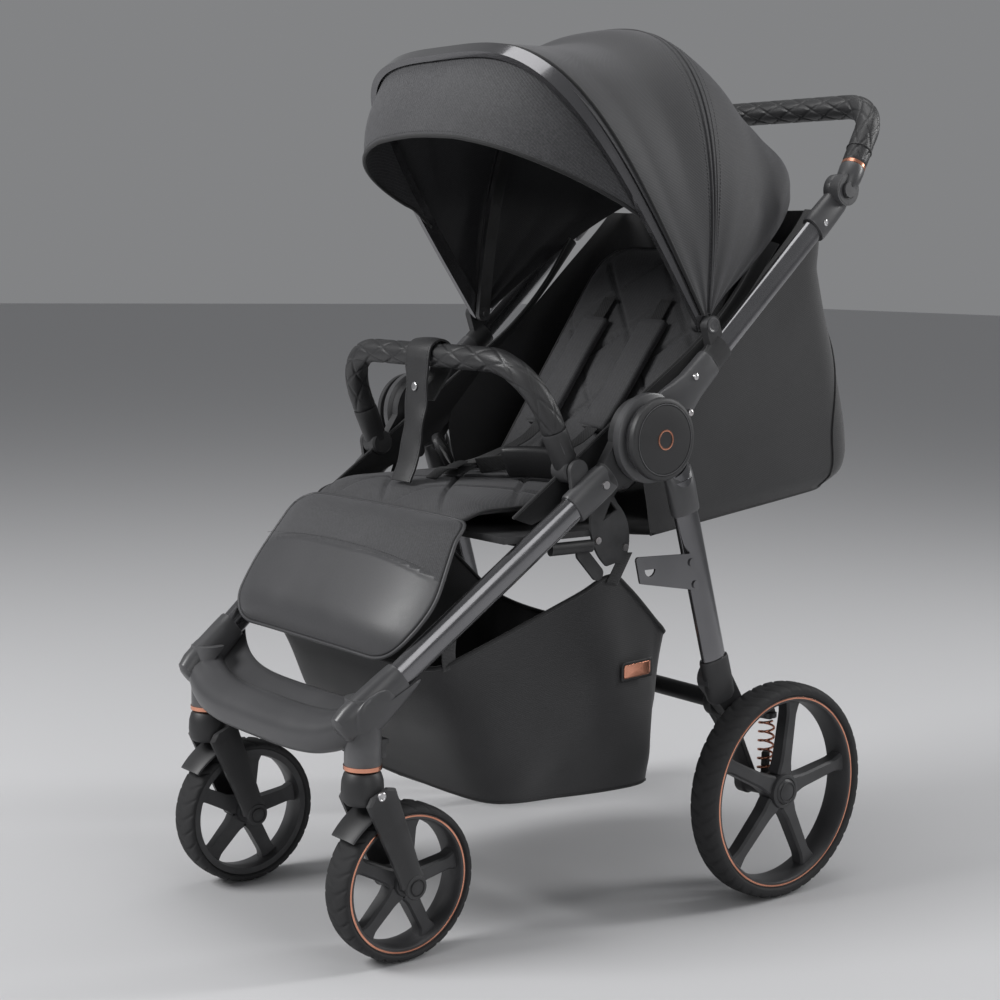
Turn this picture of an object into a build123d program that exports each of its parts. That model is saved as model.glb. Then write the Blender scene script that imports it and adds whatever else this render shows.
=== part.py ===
from build123d import *
import os
from math import atan2, cos, degrees, hypot, pi, radians, sin

# Baby stroller. Millimetres, X across (+X is the child's left), -Y is the front, +Z is up.
# Side views are given as (y, z) pairs, measured from the front axle's line on the floor.

# ---- driving sizes -------------------------------------------------------------------
front_wheel_radius = 96.0
front_wheel_width = 44.0
front_trim_radius = 83.0
front_track = 360.0
rear_wheel_radius = 144.0
rear_wheel_width = 44.0
rear_trim_radius = 126.0
rear_track = 570.0
wheelbase = 539.0
spoke_count = 5
axle_radius = 5.0
running_clearance = 0.05
body_clearance = 0.5

caster_trail = 55.0
caster_stem_radius = 22.0
caster_stem_bottom = 247.0

pivot = (327.0, 618.0)
hub_radius = 52.0
hub_pin_radius = 8.0
hub_x = 224.0
hub_layer = 13.5

tube_wall = 1.8
lower_tube_section = (22.0, 36.0)
lower_tube_front = (185.0, -50.0, 318.0)
lower_tube_rear = (231.0, 262.0, 566.0)
upper_tube_section = (20.0, 32.0)
upper_tube_x = 245.0
upper_tube_slope = 42.7
upper_tube_start = 72.0
upper_tube_end = 434.0
rear_leg_section = (22.0, 38.0)
rear_leg_x = 255.5
rear_leg_top = (361.0, 597.0)
rear_leg_foot = (455.0, 284.0)

crossbar = (478.0, 262.0)
crossbar_radius = 12.0
swing_arm_x = 222.0
swing_arm_thickness = 14.0
spring_x = 246.0
spring_y = 557.0
spring_bottom = 152.0
spring_top = 230.0
spring_radius = 10.0
spring_wire = 1.6
spring_turns = 6

handle_pivot = (658.0, 935.0)
handle_corner = (740.0, 1052.0)
handle_half_width = 236.0
handle_bend = 58.0
handle_tube_radius = 11.0
handle_grip_radius = 16.5
knuckle_radius = 21.0

bar_pivot = (229.0, 580.0)
bar_top = (168.0, 712.0)
bar_half_width = 204.0
bar_bend = 80.0
bar_radius = 15.5
bar_cap_radius = 17.0

hood_hinge = (428.0, 757.0)
hood_half_width = 238.0
hood_pin_radius = 4.0
bow_depth = 8.0
bow_width = 20.0
bow_gap = 2.0
front_bow_lean = 36.5
front_bow_height = 421.0
middle_bow_lean = -4.5
middle_bow_height = 380.0
front_arch_power = 3.8
middle_arch_power = 2.7
hood_fabric = 2.0

seat_half_width = 165.0
shell_half_width = 200.0
fabric_wall = 3.0
backrest_half_width = 150.0
backrest_thickness = 30.0
backrest_base = (375.0, 545.0)
backrest_top = (590.0, 870.0)
leg_rest_half_width = 195.0
leg_rest_length = 187.0
leg_rest_thickness = 28.0
leg_rest_top = (79.0, 530.0)
leg_rest_angle = 55.2
basket_half_width = 196.0

nodes = {}


# ---- small helpers -------------------------------------------------------------------
def side_plane(x):
    """A plane across the stroller at x, whose local axes are Y and Z."""
    return Plane(origin=(x, 0, 0), x_dir=(0, 1, 0), z_dir=(1, 0, 0))


def disc(radius, x0, x1, yz):
    return extrude(side_plane(x0) * Pos(*yz) * Circle(radius), x1 - x0)


def plate(points, x0, x1, corner=0.0):
    """A side outline of (y, z) points, extruded from x0 to x1."""
    face = make_face(Polyline(*points, close=True))
    if corner:
        face = fillet(face.vertices(), corner)
    return extrude(side_plane(x0) * face, x1 - x0)


def link(a, radius_a, b, radius_b, x0, x1):
    """A flat link with round ends between two side points."""
    length = hypot(b[0] - a[0], b[1] - a[1])
    turn = degrees(atan2(b[1] - a[1], b[0] - a[0]))
    ends = Circle(radius_a) + Pos(length, 0) * Circle(radius_b)
    corners = [(0, -radius_a), (length, -radius_b), (length, radius_b), (0, radius_a)]
    web = make_face(Polyline(*corners, close=True))
    return extrude(side_plane(x0) * Pos(*a) * Rot(0, 0, turn) * (ends + web), x1 - x0)


def oval_bar(start, end, section):
    """A solid oval bar from start to end; section is (across, deep)."""
    across, deep = section
    run = Vector(*end) - Vector(*start)
    face = Plane(origin=start, x_dir=(1, 0, 0), z_dir=run) * Ellipse(across / 2, deep / 2)
    return extrude(face, run.length)


def oval_tube(start, end, section, wall):
    bore = (section[0] - 2 * wall, section[1] - 2 * wall)
    return oval_bar(start, end, section) - oval_bar(start, end, bore)


def along(start, end, distance):
    """The point at a distance from start on the way to end."""
    run = Vector(*end) - Vector(*start)
    point = Vector(*start) + run.normalized() * distance
    return (point.X, point.Y, point.Z)


def round_sweep(path, radius):
    return sweep(Plane(origin=path @ 0, z_dir=path % 0) * Circle(radius), path)


def mirrored(solid):
    return mirror(solid, about=Plane.YZ)


def save(name, *solids):
    nodes[name] = [piece for solid in solids for piece in solid.solids()]


def save_pair(name, left):
    save(name + "_left", left)
    save(name + "_right", mirrored(left))


def save_both(name, left):
    save(name, left, mirrored(left))


def on_upper_tube(distance, x=upper_tube_x):
    """A point of the upper tube's axis, at a distance from the fold pivot."""
    slope = radians(upper_tube_slope)
    return (x, pivot[0] + distance * cos(slope), pivot[1] + distance * sin(slope))


# ---- wheels --------------------------------------------------------------------------
def wheel(x, yz, radius, trim_radius, width, hub):
    """Tyre, rim and trim ring of one wheel whose middle plane is at x."""
    outer, inner = x + width / 2, x - width / 2
    seat = trim_radius + 2
    tyre = disc(radius, inner, outer, yz)
    tyre = fillet(tyre.edges().filter_by(GeomType.CIRCLE), width * 0.32)
    tyre -= disc(seat, inner, outer, yz)
    rim_in, rim_out = inner + 4, outer - 3
    rim = disc(seat, rim_in, rim_out, yz) - disc(seat - 9, rim_in, rim_out, yz)
    rim += disc(hub, x - 12, outer - 1, yz)
    spoke_length = seat - 9 - hub + 6
    for i in range(spoke_count):
        turn = Rot(i * 360 / spoke_count + 90 - 8, 0, 0)
        bar = Box(22, spoke_length, 19)
        rim += Pos(x + 3, *yz) * turn * Pos(0, hub - 3 + spoke_length / 2, 0) * bar
    rim -= disc(axle_radius + running_clearance, x - 13, outer - 6, yz)
    trim = disc(trim_radius + 1.4, rim_out - 1.5, rim_out + 1, yz)
    trim -= disc(trim_radius - 1.4, rim_out - 1.5, rim_out + 1, yz)
    return tyre, rim - trim, trim


front_axle = (0.0, front_wheel_radius)
rear_axle = (wheelbase, rear_wheel_radius)
front_x = front_track / 2
rear_x = rear_track / 2
tyre, rim, trim = wheel(front_x, front_axle, front_wheel_radius, front_trim_radius, front_wheel_width, 17)
save_pair("front_tyre", tyre)
save_pair("front_rim", rim)
save_pair("front_trim", trim)
tyre, rim, trim = wheel(rear_x, rear_axle, rear_wheel_radius, rear_trim_radius, rear_wheel_width, 24)
save_pair("rear_tyre", tyre)
save_pair("rear_rim", rim)
save_pair("rear_trim", trim)

# ---- casters -------------------------------------------------------------------------
stem_yz = -caster_trail
arm_inner = front_wheel_width / 2 + 4
arm_outer = arm_inner + 8
crown_bottom = front_axle[1] + front_wheel_radius + 8
crown_top = caster_stem_bottom - 8
kingpin_radius = 7.0
kingpin_top = caster_stem_bottom + 30
hub_drop = (stem_yz + 2, crown_bottom + 8)
crown = Cylinder(caster_stem_radius + 2, crown_top - crown_bottom)
fork = Pos(front_x, stem_yz, (crown_bottom + crown_top) / 2) * crown
fork += Pos(front_x, stem_yz, crown_bottom + 9) * Box(2 * arm_outer, 46, 18)
for side in (-1, 1):
    x0, x1 = sorted((front_x + side * arm_inner, front_x + side * arm_outer))
    fork += link(hub_drop, 22, front_axle, 15, x0, x1)
guard = disc(front_wheel_radius + 12, front_x - arm_inner - 2, front_x + arm_inner + 2, front_axle)
guard -= disc(front_wheel_radius + 7, front_x - arm_inner - 4, front_x + arm_inner + 4, front_axle)
guard &= Pos(front_x, stem_yz - 15, crown_bottom - 12) * Box(120, 40, 60)
fork += guard
fork += disc(axle_radius, front_x - arm_inner, front_x + front_wheel_width / 2 - 7, front_axle)
kingpin = Cylinder(kingpin_radius, kingpin_top - crown_top)
fork += Pos(front_x, stem_yz, (crown_top + kingpin_top) / 2) * kingpin
save_pair("caster_fork", fork)

ring_height = 5.0
kingpin_bore = Cylinder(kingpin_radius + running_clearance, 60)
kingpin_bore = Pos(front_x, stem_yz, kingpin_top - 20) * kingpin_bore
caster_ring = Cylinder(caster_stem_radius + 1, ring_height)
caster_ring = Pos(front_x, stem_yz, caster_stem_bottom - ring_height / 2) * caster_ring
save_both("caster_rings", caster_ring - kingpin_bore)

lock_y = stem_yz + caster_stem_radius + 4
swivel_lock = Pos(front_x, lock_y, caster_stem_bottom + 16) * Box(12, 6, 22)
swivel_lock += Pos(front_x, lock_y + 4, caster_stem_bottom + 24) * Box(12, 6, 5)
save_pair("swivel_lock", swivel_lock)

# ---- front frame: lower tubes, foot plate, caster stems ---------------------------------
save_pair("lower_tube", oval_tube(lower_tube_front, lower_tube_rear, lower_tube_section, tube_wall))
lower_bar = oval_bar(lower_tube_front, lower_tube_rear, lower_tube_section)

plate_slope = 40.0
plate_origin = (0.0, lower_tube_front[1], lower_tube_front[2] - 10)
plate_normal = (0.0, -sin(radians(plate_slope)), cos(radians(plate_slope)))
foot_plane = Plane(origin=plate_origin, x_dir=(1, 0, 0), z_dir=plate_normal)
plate_half = lower_tube_front[0] + 18
plate_front, plate_back, rim_band = -50.0, 26.0, 30.0


def foot_outline(half, front, back):
    """The plate's outline: a wide curved front between two straight sides."""
    bow = ThreePointArc((half - 30, front + 22), (0, front), (30 - half, front + 22))
    corners = [(30 - half, front + 22), (-half, front + 52), (-half, back), (half, back)]
    return make_face([bow, Polyline(*corners, (half, front + 52), (half - 30, front + 22))])


outer_face = foot_outline(plate_half, plate_front, plate_back)
inner_face = foot_outline(plate_half - rim_band, plate_front + rim_band, plate_back)
foot_plate = extrude(foot_plane * outer_face, 6)
foot_plate += extrude(foot_plane * Pos(0, 0, -18) * (outer_face - inner_face), 26)
sleeve_start = along(lower_tube_front, lower_tube_rear, -8)
sleeve_end = along(lower_tube_front, lower_tube_rear, 48)
sleeve = oval_bar(sleeve_start, sleeve_end, (28, 42))
foot_plate += sleeve + mirrored(sleeve)
foot_plate -= lower_bar + mirrored(lower_bar)
save("foot_plate", foot_plate)

stem_height = 80.0
stem = Cylinder(caster_stem_radius, stem_height)
stem = Pos(front_x, stem_yz, caster_stem_bottom + stem_height / 2) * stem
stem -= kingpin_bore
stem -= foot_plate
stem -= lower_bar
stem = stem.solids().sort_by(Axis.Z)[0]
save_both("caster_stems", stem)

# ---- fold joint: housing, covers, upper frame hub, rear leg hub --------------------------
layer_gap = body_clearance
housing_x = (hub_x, hub_x + hub_layer)
upper_hub_x = (housing_x[1] + layer_gap, housing_x[1] + layer_gap + hub_layer)
leg_hub_x = (upper_hub_x[1] + layer_gap, upper_hub_x[1] + layer_gap + 11.5)
cover_x = (leg_hub_x[1] + layer_gap, leg_hub_x[1] + layer_gap + 10)
hub_bore = disc(hub_pin_radius + running_clearance, hub_x - 20, cover_x[0], pivot)

lower_socket_start = along(lower_tube_rear, lower_tube_front, 50)
housing = oval_bar(lower_socket_start, along(lower_tube_rear, lower_tube_front, -12), (26, 42))
housing += disc(hub_radius - 2, *housing_x, pivot)
housing += plate([(252, 575), (273, 551), (330, 575), (300, 650)], *housing_x)
housing -= lower_bar
housing -= disc(bar_cap_radius + body_clearance, bar_half_width - 20, bar_half_width + 16.5, bar_pivot)
housing -= disc(hub_radius + 5, upper_hub_x[0] - layer_gap, upper_hub_x[1] + 40, pivot)
pin = disc(hub_pin_radius, hub_x, cover_x[0], pivot)
save_both("joint_housings", housing - pin)

cover = disc(hub_radius, *cover_x, pivot)
cover = fillet(cover.edges().filter_by(GeomType.CIRCLE).sort_by(Axis.X)[-1:], 2.5)
groove = disc(hub_radius - 8, cover_x[1] - 1.2, cover_x[1], pivot)
groove -= disc(hub_radius - 10, cover_x[1] - 1.2, cover_x[1], pivot)
save_both("joint_covers", cover - groove + pin)

upper_start, upper_stop = on_upper_tube(upper_tube_start), on_upper_tube(upper_tube_end)
save_pair("upper_tube", oval_tube(upper_start, upper_stop, upper_tube_section, tube_wall))
upper_bar = oval_bar(upper_start, upper_stop, upper_tube_section)
upper_sleeve = oval_bar(on_upper_tube(70), on_upper_tube(132), (24, 40))
upper_sleeve += link(pivot, hub_radius + 4, on_upper_tube(84)[1:], 20, *upper_hub_x)
save_both("joint_sleeves", upper_sleeve - upper_bar - hub_bore)

leg_top = (rear_leg_x, *rear_leg_top)
leg_foot = (rear_leg_x, *rear_leg_foot)
rear_leg = oval_bar(leg_top, leg_foot, rear_leg_section)
rear_leg += oval_bar(along(leg_top, leg_foot, 34), along(leg_top, leg_foot, 78), (24, 42))
keep_out = disc(hub_radius + 6, upper_hub_x[0] - 30, upper_hub_x[1] + layer_gap, pivot)
rear_leg -= keep_out
rear_leg -= disc(hub_radius + 6, cover_x[0] - layer_gap, cover_x[1] + 10, pivot)
rear_leg += disc(hub_radius - 6, *leg_hub_x, pivot)
leg_bore = (rear_leg_section[0] - 2 * tube_wall, rear_leg_section[1] - 2 * tube_wall)
rear_leg -= oval_bar(along(leg_top, leg_foot, 80), leg_foot, leg_bore)
save_pair("rear_leg", rear_leg - hub_bore)
leg_bar = oval_bar(leg_top, leg_foot, rear_leg_section)

bracket_x = rear_leg_x + rear_leg_section[0] / 2
bracket = plate([(287, 474), (384, 471), (400, 422), (296, 440)], bracket_x, bracket_x + 3, 4)
slot = disc(9, bracket_x, bracket_x + 3, (312, 457))
slot &= plate([(290, 457), (330, 457), (330, 430), (290, 430)], bracket_x, bracket_x + 3)
bracket -= slot
for bolt in ((383, 460), (391, 431)):
    bracket += disc(5, bracket_x + 3, bracket_x + 5, bolt)
save_both("leg_brackets", bracket)

# ---- fold plates and links under the joint ----------------------------------------------
fold_x = (213.0, 217.0)
crescent_back = ThreePointArc((282, 568), (259, 510), (287, 456))
crescent_front = ThreePointArc((318, 462), (324, 490), (303, 534))
crescent_top = Polyline((303, 534), (296, 544), (312, 562), (296, 574), (282, 568))
crescent = make_face([crescent_back, Line((287, 456), (318, 462)), crescent_front, crescent_top])
fold_plate = extrude(side_plane(fold_x[0]) * crescent, fold_x[1] - fold_x[0])
fold_plate -= plate([(291, 538), (303, 526), (279, 514)], *fold_x)
fold_plate += link((296, 592), 9, (312, 562), 9, fold_x[1], fold_x[1] + 4)
fold_plate += link((250, 474), 9, (276, 447), 9, fold_x[0] - 4, fold_x[0])
fold_plate += oval_bar((215, 195, 484), (215, 262, 484), (12, 16))
fold_plate -= lower_bar
fold_plate -= housing
save_both("fold_plates", fold_plate)

rivets = []
for y, z in ((270, 490), (316, 478), (312, 562)):
    rivets.append(disc(4.5, fold_x[1], fold_x[1] + 3, (y, z)) - fold_plate)
rivet_x = lower_tube_rear[0] + 13
rivets.append(disc(5, rivet_x - 4, rivet_x + 3, (257, 563)) - housing - lower_bar)
save("frame_rivets", *rivets, *[mirrored(rivet) for rivet in rivets])

# ---- rear crossbar, swing arms, springs, brake --------------------------------------------
boot_x = (rear_leg_x - 15, rear_x - rear_wheel_width / 2 - 2.5)
crossbar_end = boot_x[0]
boot = link((449, 300), 21, crossbar, 17, *boot_x) - leg_bar
boot += link(crossbar, 12, (spring_y, spring_top + 8), 9, boot_x[0], boot_x[0] + 12)
boot += Pos(spring_x, spring_y, spring_top + 5) * Cylinder(13, 6)
crossbar_solid = disc(crossbar_radius, -crossbar_end, crossbar_end, crossbar)
crossbar_solid += boot + mirrored(boot)
save("rear_crossbar", crossbar_solid)

arm_x = (swing_arm_x, swing_arm_x + swing_arm_thickness)
arm = link(crossbar, 20, rear_axle, 17, *arm_x)
arm += Pos(spring_x - 6, spring_y, spring_bottom - 6) * Box(36, 26, 8)
arm += Pos(spring_x, spring_y, spring_bottom - 4) * Cylinder(13, 6)
arm += disc(axle_radius, arm_x[1], rear_x + rear_wheel_width / 2 - 7, rear_axle)
arm += disc(12, arm_x[1], rear_x - 14, rear_axle)
arm -= disc(crossbar_radius + running_clearance, arm_x[0], arm_x[1], crossbar)
save_pair("swing_arm", arm)

coil_height = spring_top - spring_bottom - 2 * spring_wire - 1
coil = Helix(coil_height / spring_turns, coil_height, spring_radius)
wire = Plane(origin=coil @ 0, z_dir=coil % 0) * Circle(spring_wire)
spring = Pos(spring_x, spring_y, spring_bottom + 0.5) * sweep(wire, coil)
spring = Pos(0, 0, spring_wire) * spring
save_pair("coil_spring", spring)

pedal_x = (40.0, 64.0)
pedal = disc(19, *pedal_x, crossbar)
pedal += plate([(490, 248), (530, 240), (532, 250), (492, 272)], pedal_x[0] - 26, pedal_x[1] + 26, 3)
pedal -= disc(crossbar_radius + running_clearance, pedal_x[0] - 30, pedal_x[1] + 30, crossbar)
save("brake_pedal", pedal)

# ---- handle ------------------------------------------------------------------------------
knuckle_x = (236.0, 249.0)
housing_sleeve = oval_bar(on_upper_tube(392), on_upper_tube(440), (24, 38))
adjuster = disc(knuckle_radius, knuckle_x[0], knuckle_x[1], handle_pivot) + housing_sleeve
adjuster += disc(6, knuckle_x[1], knuckle_x[1] + 3, handle_pivot)
grip_cap_x = (knuckle_x[1] + layer_gap, knuckle_x[1] + layer_gap + 14)
adjuster -= disc(knuckle_radius + 8, grip_cap_x[0] - layer_gap, grip_cap_x[1] + 10, handle_pivot)
adjuster += disc(6, knuckle_x[1], knuckle_x[1] + 4, handle_pivot)
save_both("adjuster_housings", adjuster - upper_bar)

arm_start = (grip_cap_x[0] + 7, handle_pivot[0], handle_pivot[1])
arm_corner = (handle_half_width, *handle_corner)
handle_path = FilletPolyline(
    arm_start,
    arm_corner,
    (-arm_corner[0], arm_corner[1], arm_corner[2]),
    (-arm_start[0], arm_start[1], arm_start[2]),
    radius=handle_bend,
)
handle_tube = round_sweep(handle_path, handle_tube_radius)
knuckle = disc(knuckle_radius, *grip_cap_x, handle_pivot)
handle_tube += knuckle + mirrored(knuckle)
button_radius, button_travel = 10.0, 3.0
button_x = (grip_cap_x[1] - 6, grip_cap_x[1] + 4)
pocket = disc(button_radius + body_clearance, button_x[0] - button_travel - 0.5, button_x[1], handle_pivot)
axle_pocket = disc(6 + running_clearance, grip_cap_x[0], knuckle_x[1] + 4.2, handle_pivot)
turning_room = disc(knuckle_radius + 8, knuckle_x[0] - 10, grip_cap_x[0], handle_pivot)
cuts = pocket + axle_pocket + turning_room
handle_tube -= cuts + mirrored(cuts)
handle_tube = handle_tube.solids().sort_by(SortBy.VOLUME)[-1]
save("handle_tube", handle_tube)
save_pair("handle_button", disc(button_radius, *button_x, handle_pivot))

ring_at = along(arm_start, arm_corner, 36)
ring_top = along(arm_start, arm_corner, 41)
gold_ring = oval_bar(ring_at, ring_top, (2 * handle_grip_radius, 2 * handle_grip_radius)) - handle_tube
save_both("handle_rings", gold_ring)
grip_path = FilletPolyline(
    ring_top,
    arm_corner,
    (-arm_corner[0], arm_corner[1], arm_corner[2]),
    (-ring_top[0], ring_top[1], ring_top[2]),
    radius=handle_bend,
)
save("handle_grip", round_sweep(grip_path, handle_grip_radius) - round_sweep(grip_path, handle_tube_radius))

# ---- grab bar ------------------------------------------------------------------------------
bar_foot = (bar_half_width + 1, *bar_pivot)
bar_corner = (bar_half_width - 4, *bar_top)
bar_path = FilletPolyline(
    bar_foot,
    bar_corner,
    (-bar_corner[0], bar_corner[1], bar_corner[2]),
    (-bar_foot[0], bar_foot[1], bar_foot[2]),
    radius=bar_bend,
)
grab_bar = round_sweep(bar_path, bar_radius)
bar_cap = disc(bar_cap_radius, bar_foot[0] - 16, bar_foot[0] + 15, bar_pivot)
grab_bar += bar_cap + mirrored(bar_cap)
bar_pin = disc(5, bar_foot[0] - 8, bar_foot[0] + 22, bar_pivot)
bar_pin_bore = disc(5 + running_clearance, bar_foot[0] - 8.2, bar_foot[0] + 22, bar_pivot)
release_at = along(bar_foot, bar_corner, 36)
release_pocket = Pos(release_at[0] + 13, release_at[1], release_at[2]) * Rot(22, 0, 0) * Box(12, 17, 25)
release = Pos(release_at[0] + 14, release_at[1], release_at[2]) * Rot(22, 0, 0) * Box(6, 16, 24)
grab_bar -= bar_pin_bore + mirrored(bar_pin_bore)
grab_bar -= release_pocket + mirrored(release_pocket)
save("grab_bar", grab_bar)
save_pair("grab_button", release)

socket_x = (bar_foot[0] + 16, bar_foot[0] + 22)
bar_socket = link(bar_pivot, 14, (bar_pivot[0] + 8, bar_pivot[1] - 34), 16, *socket_x)
bar_socket += bar_pin
bar_socket -= lower_bar
bar_socket = bar_socket.solids().sort_by(SortBy.VOLUME)[-1]
save_both("bar_sockets", bar_socket - housing)

# ---- hood ------------------------------------------------------------------------------------
def hood_plane(lean, ahead=0.0):
    """A plane through the hood's hinge line, leaning forward; local Y runs up the arch."""
    turn = radians(lean)
    normal = (0, -cos(turn), -sin(turn))
    origin = (0, hood_hinge[0] + ahead * normal[1], hood_hinge[1] + ahead * normal[2])
    return Plane(origin=origin, x_dir=(1, 0, 0), z_dir=normal)


def arch_face(half_width, height, start, power, straight=False):
    """The area under an arch, cut off level at a height above the hinge line."""
    points = []
    steps = 16 if straight else 12
    for i in range(steps + 1):
        turn = pi / 2 * (i / steps)
        up = height * sin(turn) ** (2 / power)
        if up > start:
            points.append((half_width * cos(turn) ** (2 / power), up))
    foot = half_width * (1 - (start / height) ** power) ** (1 / power)
    right = [(foot, start)] + points
    left = [(-x, y) for x, y in reversed(right[:-1])]
    if straight:
        return make_face(Polyline(*(right + left), close=True))
    curve = Spline(*(right + left))
    return make_face([curve, Line((-foot, start), (foot, start))])


def bow(lean, half_width, height, power):
    plane = hood_plane(lean, -bow_width / 2)
    face = arch_face(half_width, height, 1.0, power)
    face -= arch_face(half_width - bow_depth, height - bow_depth, 0.5, power)
    solid = extrude(plane * face, bow_width)
    eye = disc(bow_width / 2, half_width - bow_depth, half_width, hood_hinge)
    solid += eye + mirrored(eye)
    bore = disc(hood_pin_radius + running_clearance, half_width - 20, half_width + 1, hood_hinge)
    return solid - bore - mirrored(bore)


front_bow = bow(front_bow_lean, hood_half_width, front_bow_height, front_arch_power)
middle_half = hood_half_width - bow_depth - bow_gap
middle_bow = bow(middle_bow_lean, middle_half, middle_bow_height, middle_arch_power)
save("hood_bow_front", front_bow)
save("hood_bow_middle", middle_bow)

clamp_at = 110.0
hinge_x = (hood_half_width + body_clearance, hood_half_width + 12)
clamp = oval_bar(on_upper_tube(clamp_at + 26), on_upper_tube(clamp_at + 56), (25, 38)) - upper_bar
clamp += link(hood_hinge, 12, (436, 735), 12, *hinge_x) - upper_bar
clamp += disc(hood_pin_radius, hood_half_width - 22, hinge_x[1], hood_hinge)
save_both("hood_clamps", clamp)


def fabric_shell(sections, start):
    """A thin shell lofted through arches given as (lean, ahead, half width, height, power)."""
    outer, inner = [], []
    for lean, ahead, half_width, height, power in sections:
        plane = hood_plane(lean, ahead)
        inside = (half_width - hood_fabric, height - hood_fabric)
        outer.append(plane * arch_face(half_width, height, start, power, True))
        inner.append(plane * arch_face(*inside, start - 12, power, True))
    shell = None
    for i in range(len(sections) - 1):
        strip = loft(outer[i:i + 2], ruled=True) - loft(inner[i:i + 2], ruled=True)
        shell = strip if shell is None else shell + strip
    return shell


skin_half = hood_half_width + 2
front_skin = [
    (front_bow_lean - 1.2, 0, skin_half, front_bow_height - 1, front_arch_power),
    (22.0, 0, skin_half, 380.0, 3.1),
    (9.0, 0, skin_half, 368.0, middle_arch_power),
    (middle_bow_lean, 0, skin_half, middle_bow_height + 6, middle_arch_power),
]
rear_skin = [
    (middle_bow_lean - 0.8, 0, skin_half, middle_bow_height + 5, middle_arch_power),
    (-20.0, 0, skin_half - 2, 357.0, middle_arch_power),
    (-36.0, 0, skin_half - 8, 346.0, middle_arch_power),
    (-52.0, 0, skin_half - 22, 352.0, middle_arch_power),
]
bow_room = hood_plane(front_bow_lean, 0) * Box(3 * hood_half_width, 3 * front_bow_height, bow_width + 2)
save("hood_front_panel", fabric_shell(front_skin, 45.0) - bow_room)
save("hood_rear_panel", fabric_shell(rear_skin, 45.0))
visor_skin = [
    (front_bow_lean, bow_width / 2 + 1, hood_half_width - 2, front_bow_height - 3, front_arch_power),
    (49.5, 0, hood_half_width - 12, 338.0, front_arch_power),
]
save("hood_visor", fabric_shell(visor_skin, 180.0))

# ---- seat ---------------------------------------------------------------------------------------
seat_top, seat_bottom = 550.0, 512.0
cushion_side = [(92, seat_bottom - 4), (92, seat_top - 4), (340, seat_top), (352, seat_bottom)]
cushion = plate(cushion_side, -seat_half_width, seat_half_width, 10)
save("seat_cushion", cushion)
seat_board = Pos(0, 225, seat_bottom - 12.5) * Box(2 * fold_x[0], 200, 8)
seat_board += disc(9, -fold_x[0], fold_x[0], (190, seat_bottom - 22))
seat_board -= fold_plate + mirrored(fold_plate) + lower_bar + mirrored(lower_bar)
save("seat_board", seat_board)

run = (backrest_top[0] - backrest_base[0], backrest_top[1] - backrest_base[1])
run_length = hypot(*run)
behind = (run[1] / run_length * backrest_thickness, -run[0] / run_length * backrest_thickness)
back_outline = [
    backrest_base,
    backrest_top,
    (backrest_top[0] + behind[0], backrest_top[1] + behind[1]),
    (backrest_base[0] + behind[0], backrest_base[1] + behind[1]),
]
recline_axis = (backrest_base[0] + behind[0] / 2 + 2, backrest_base[1] + behind[1] / 2 + 3)
backrest = plate(back_outline, -backrest_half_width, backrest_half_width, 9)
backrest += disc(6, -backrest_half_width - 12, backrest_half_width + 12, recline_axis)
save("backrest", backrest)

shell_outer = [(388, 512), (447, 490), (657, 519), (756, 550), (669, 871), (604, 852), (420, 690)]
shell_inner = [(370, 516.5), (447, 493.2), (657, 522.2), (752, 553), (664, 880), (560, 900), (380, 700)]
shell = plate(shell_outer, -shell_half_width, shell_half_width)
shell -= plate(shell_inner, -shell_half_width + fabric_wall, shell_half_width - fabric_wall)
save("seat_shell", shell)

face_turn = radians(leg_rest_angle)
leg_plane = Plane(
    origin=(0, *leg_rest_top),
    x_dir=(1, 0, 0),
    z_dir=(0, -sin(face_turn), cos(face_turn)),
)
pad = Pos(0, -leg_rest_length / 2) * Rectangle(2 * leg_rest_half_width, leg_rest_length)
pad = fillet(pad.vertices().sort_by(Axis.Y)[:2], 60)
leg_rest = extrude(leg_plane * Pos(0, 0, -leg_rest_thickness / 2) * pad, leg_rest_thickness)
leg_axis = (leg_rest_top[0] + 4, leg_rest_top[1] - 12)
leg_rest += disc(8, -150, 150, leg_axis)
save("leg_rest", leg_rest)

strap_x = (-22.0, 22.0)
strap_top = bar_top[1] - 22
strap_side = [(132, seat_top + 2), (128, seat_top + 3), (151, strap_top), (155, strap_top - 1)]
strap = plate(strap_side, *strap_x)
save("crotch_strap", strap)

# ---- basket ---------------------------------------------------------------------------------------
basket_side = [(139, 163), (415, 150), (435, 340), (317, 440), (36, 345)]
basket_space = [
    (139 + fabric_wall, 163 + fabric_wall),
    (415 - fabric_wall, 150 + fabric_wall),
    (435 - fabric_wall, 340),
    (435 - fabric_wall, 470),
    (36 + 2 * fabric_wall, 470),
    (36 + 2 * fabric_wall, 345),
]
basket = plate(basket_side, -basket_half_width, basket_half_width)
basket -= plate(basket_space, fabric_wall - basket_half_width, basket_half_width - fabric_wall)
save("basket", basket)

# ---- the origin goes under the middle of the whole stroller, on the floor ---------------------------
everything = [piece.bounding_box() for pieces in nodes.values() for piece in pieces]
middle = (min(box.min.Y for box in everything) + max(box.max.Y for box in everything)) / 2
print("front axle is at y =", round(-middle, 3))

os.makedirs("parts", exist_ok=True)
for name, pieces in nodes.items():
    placed = [Pos(0, -middle, 0) * piece for piece in pieces]
    export_step(placed[0] if len(placed) == 1 else Compound(children=placed), f"parts/{name}.step")
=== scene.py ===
import bmesh
import bpy
from math import atan2, cos, exp, hypot, pi, radians, sin, sqrt, tau
from mathutils import Matrix, Vector, noise


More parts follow.
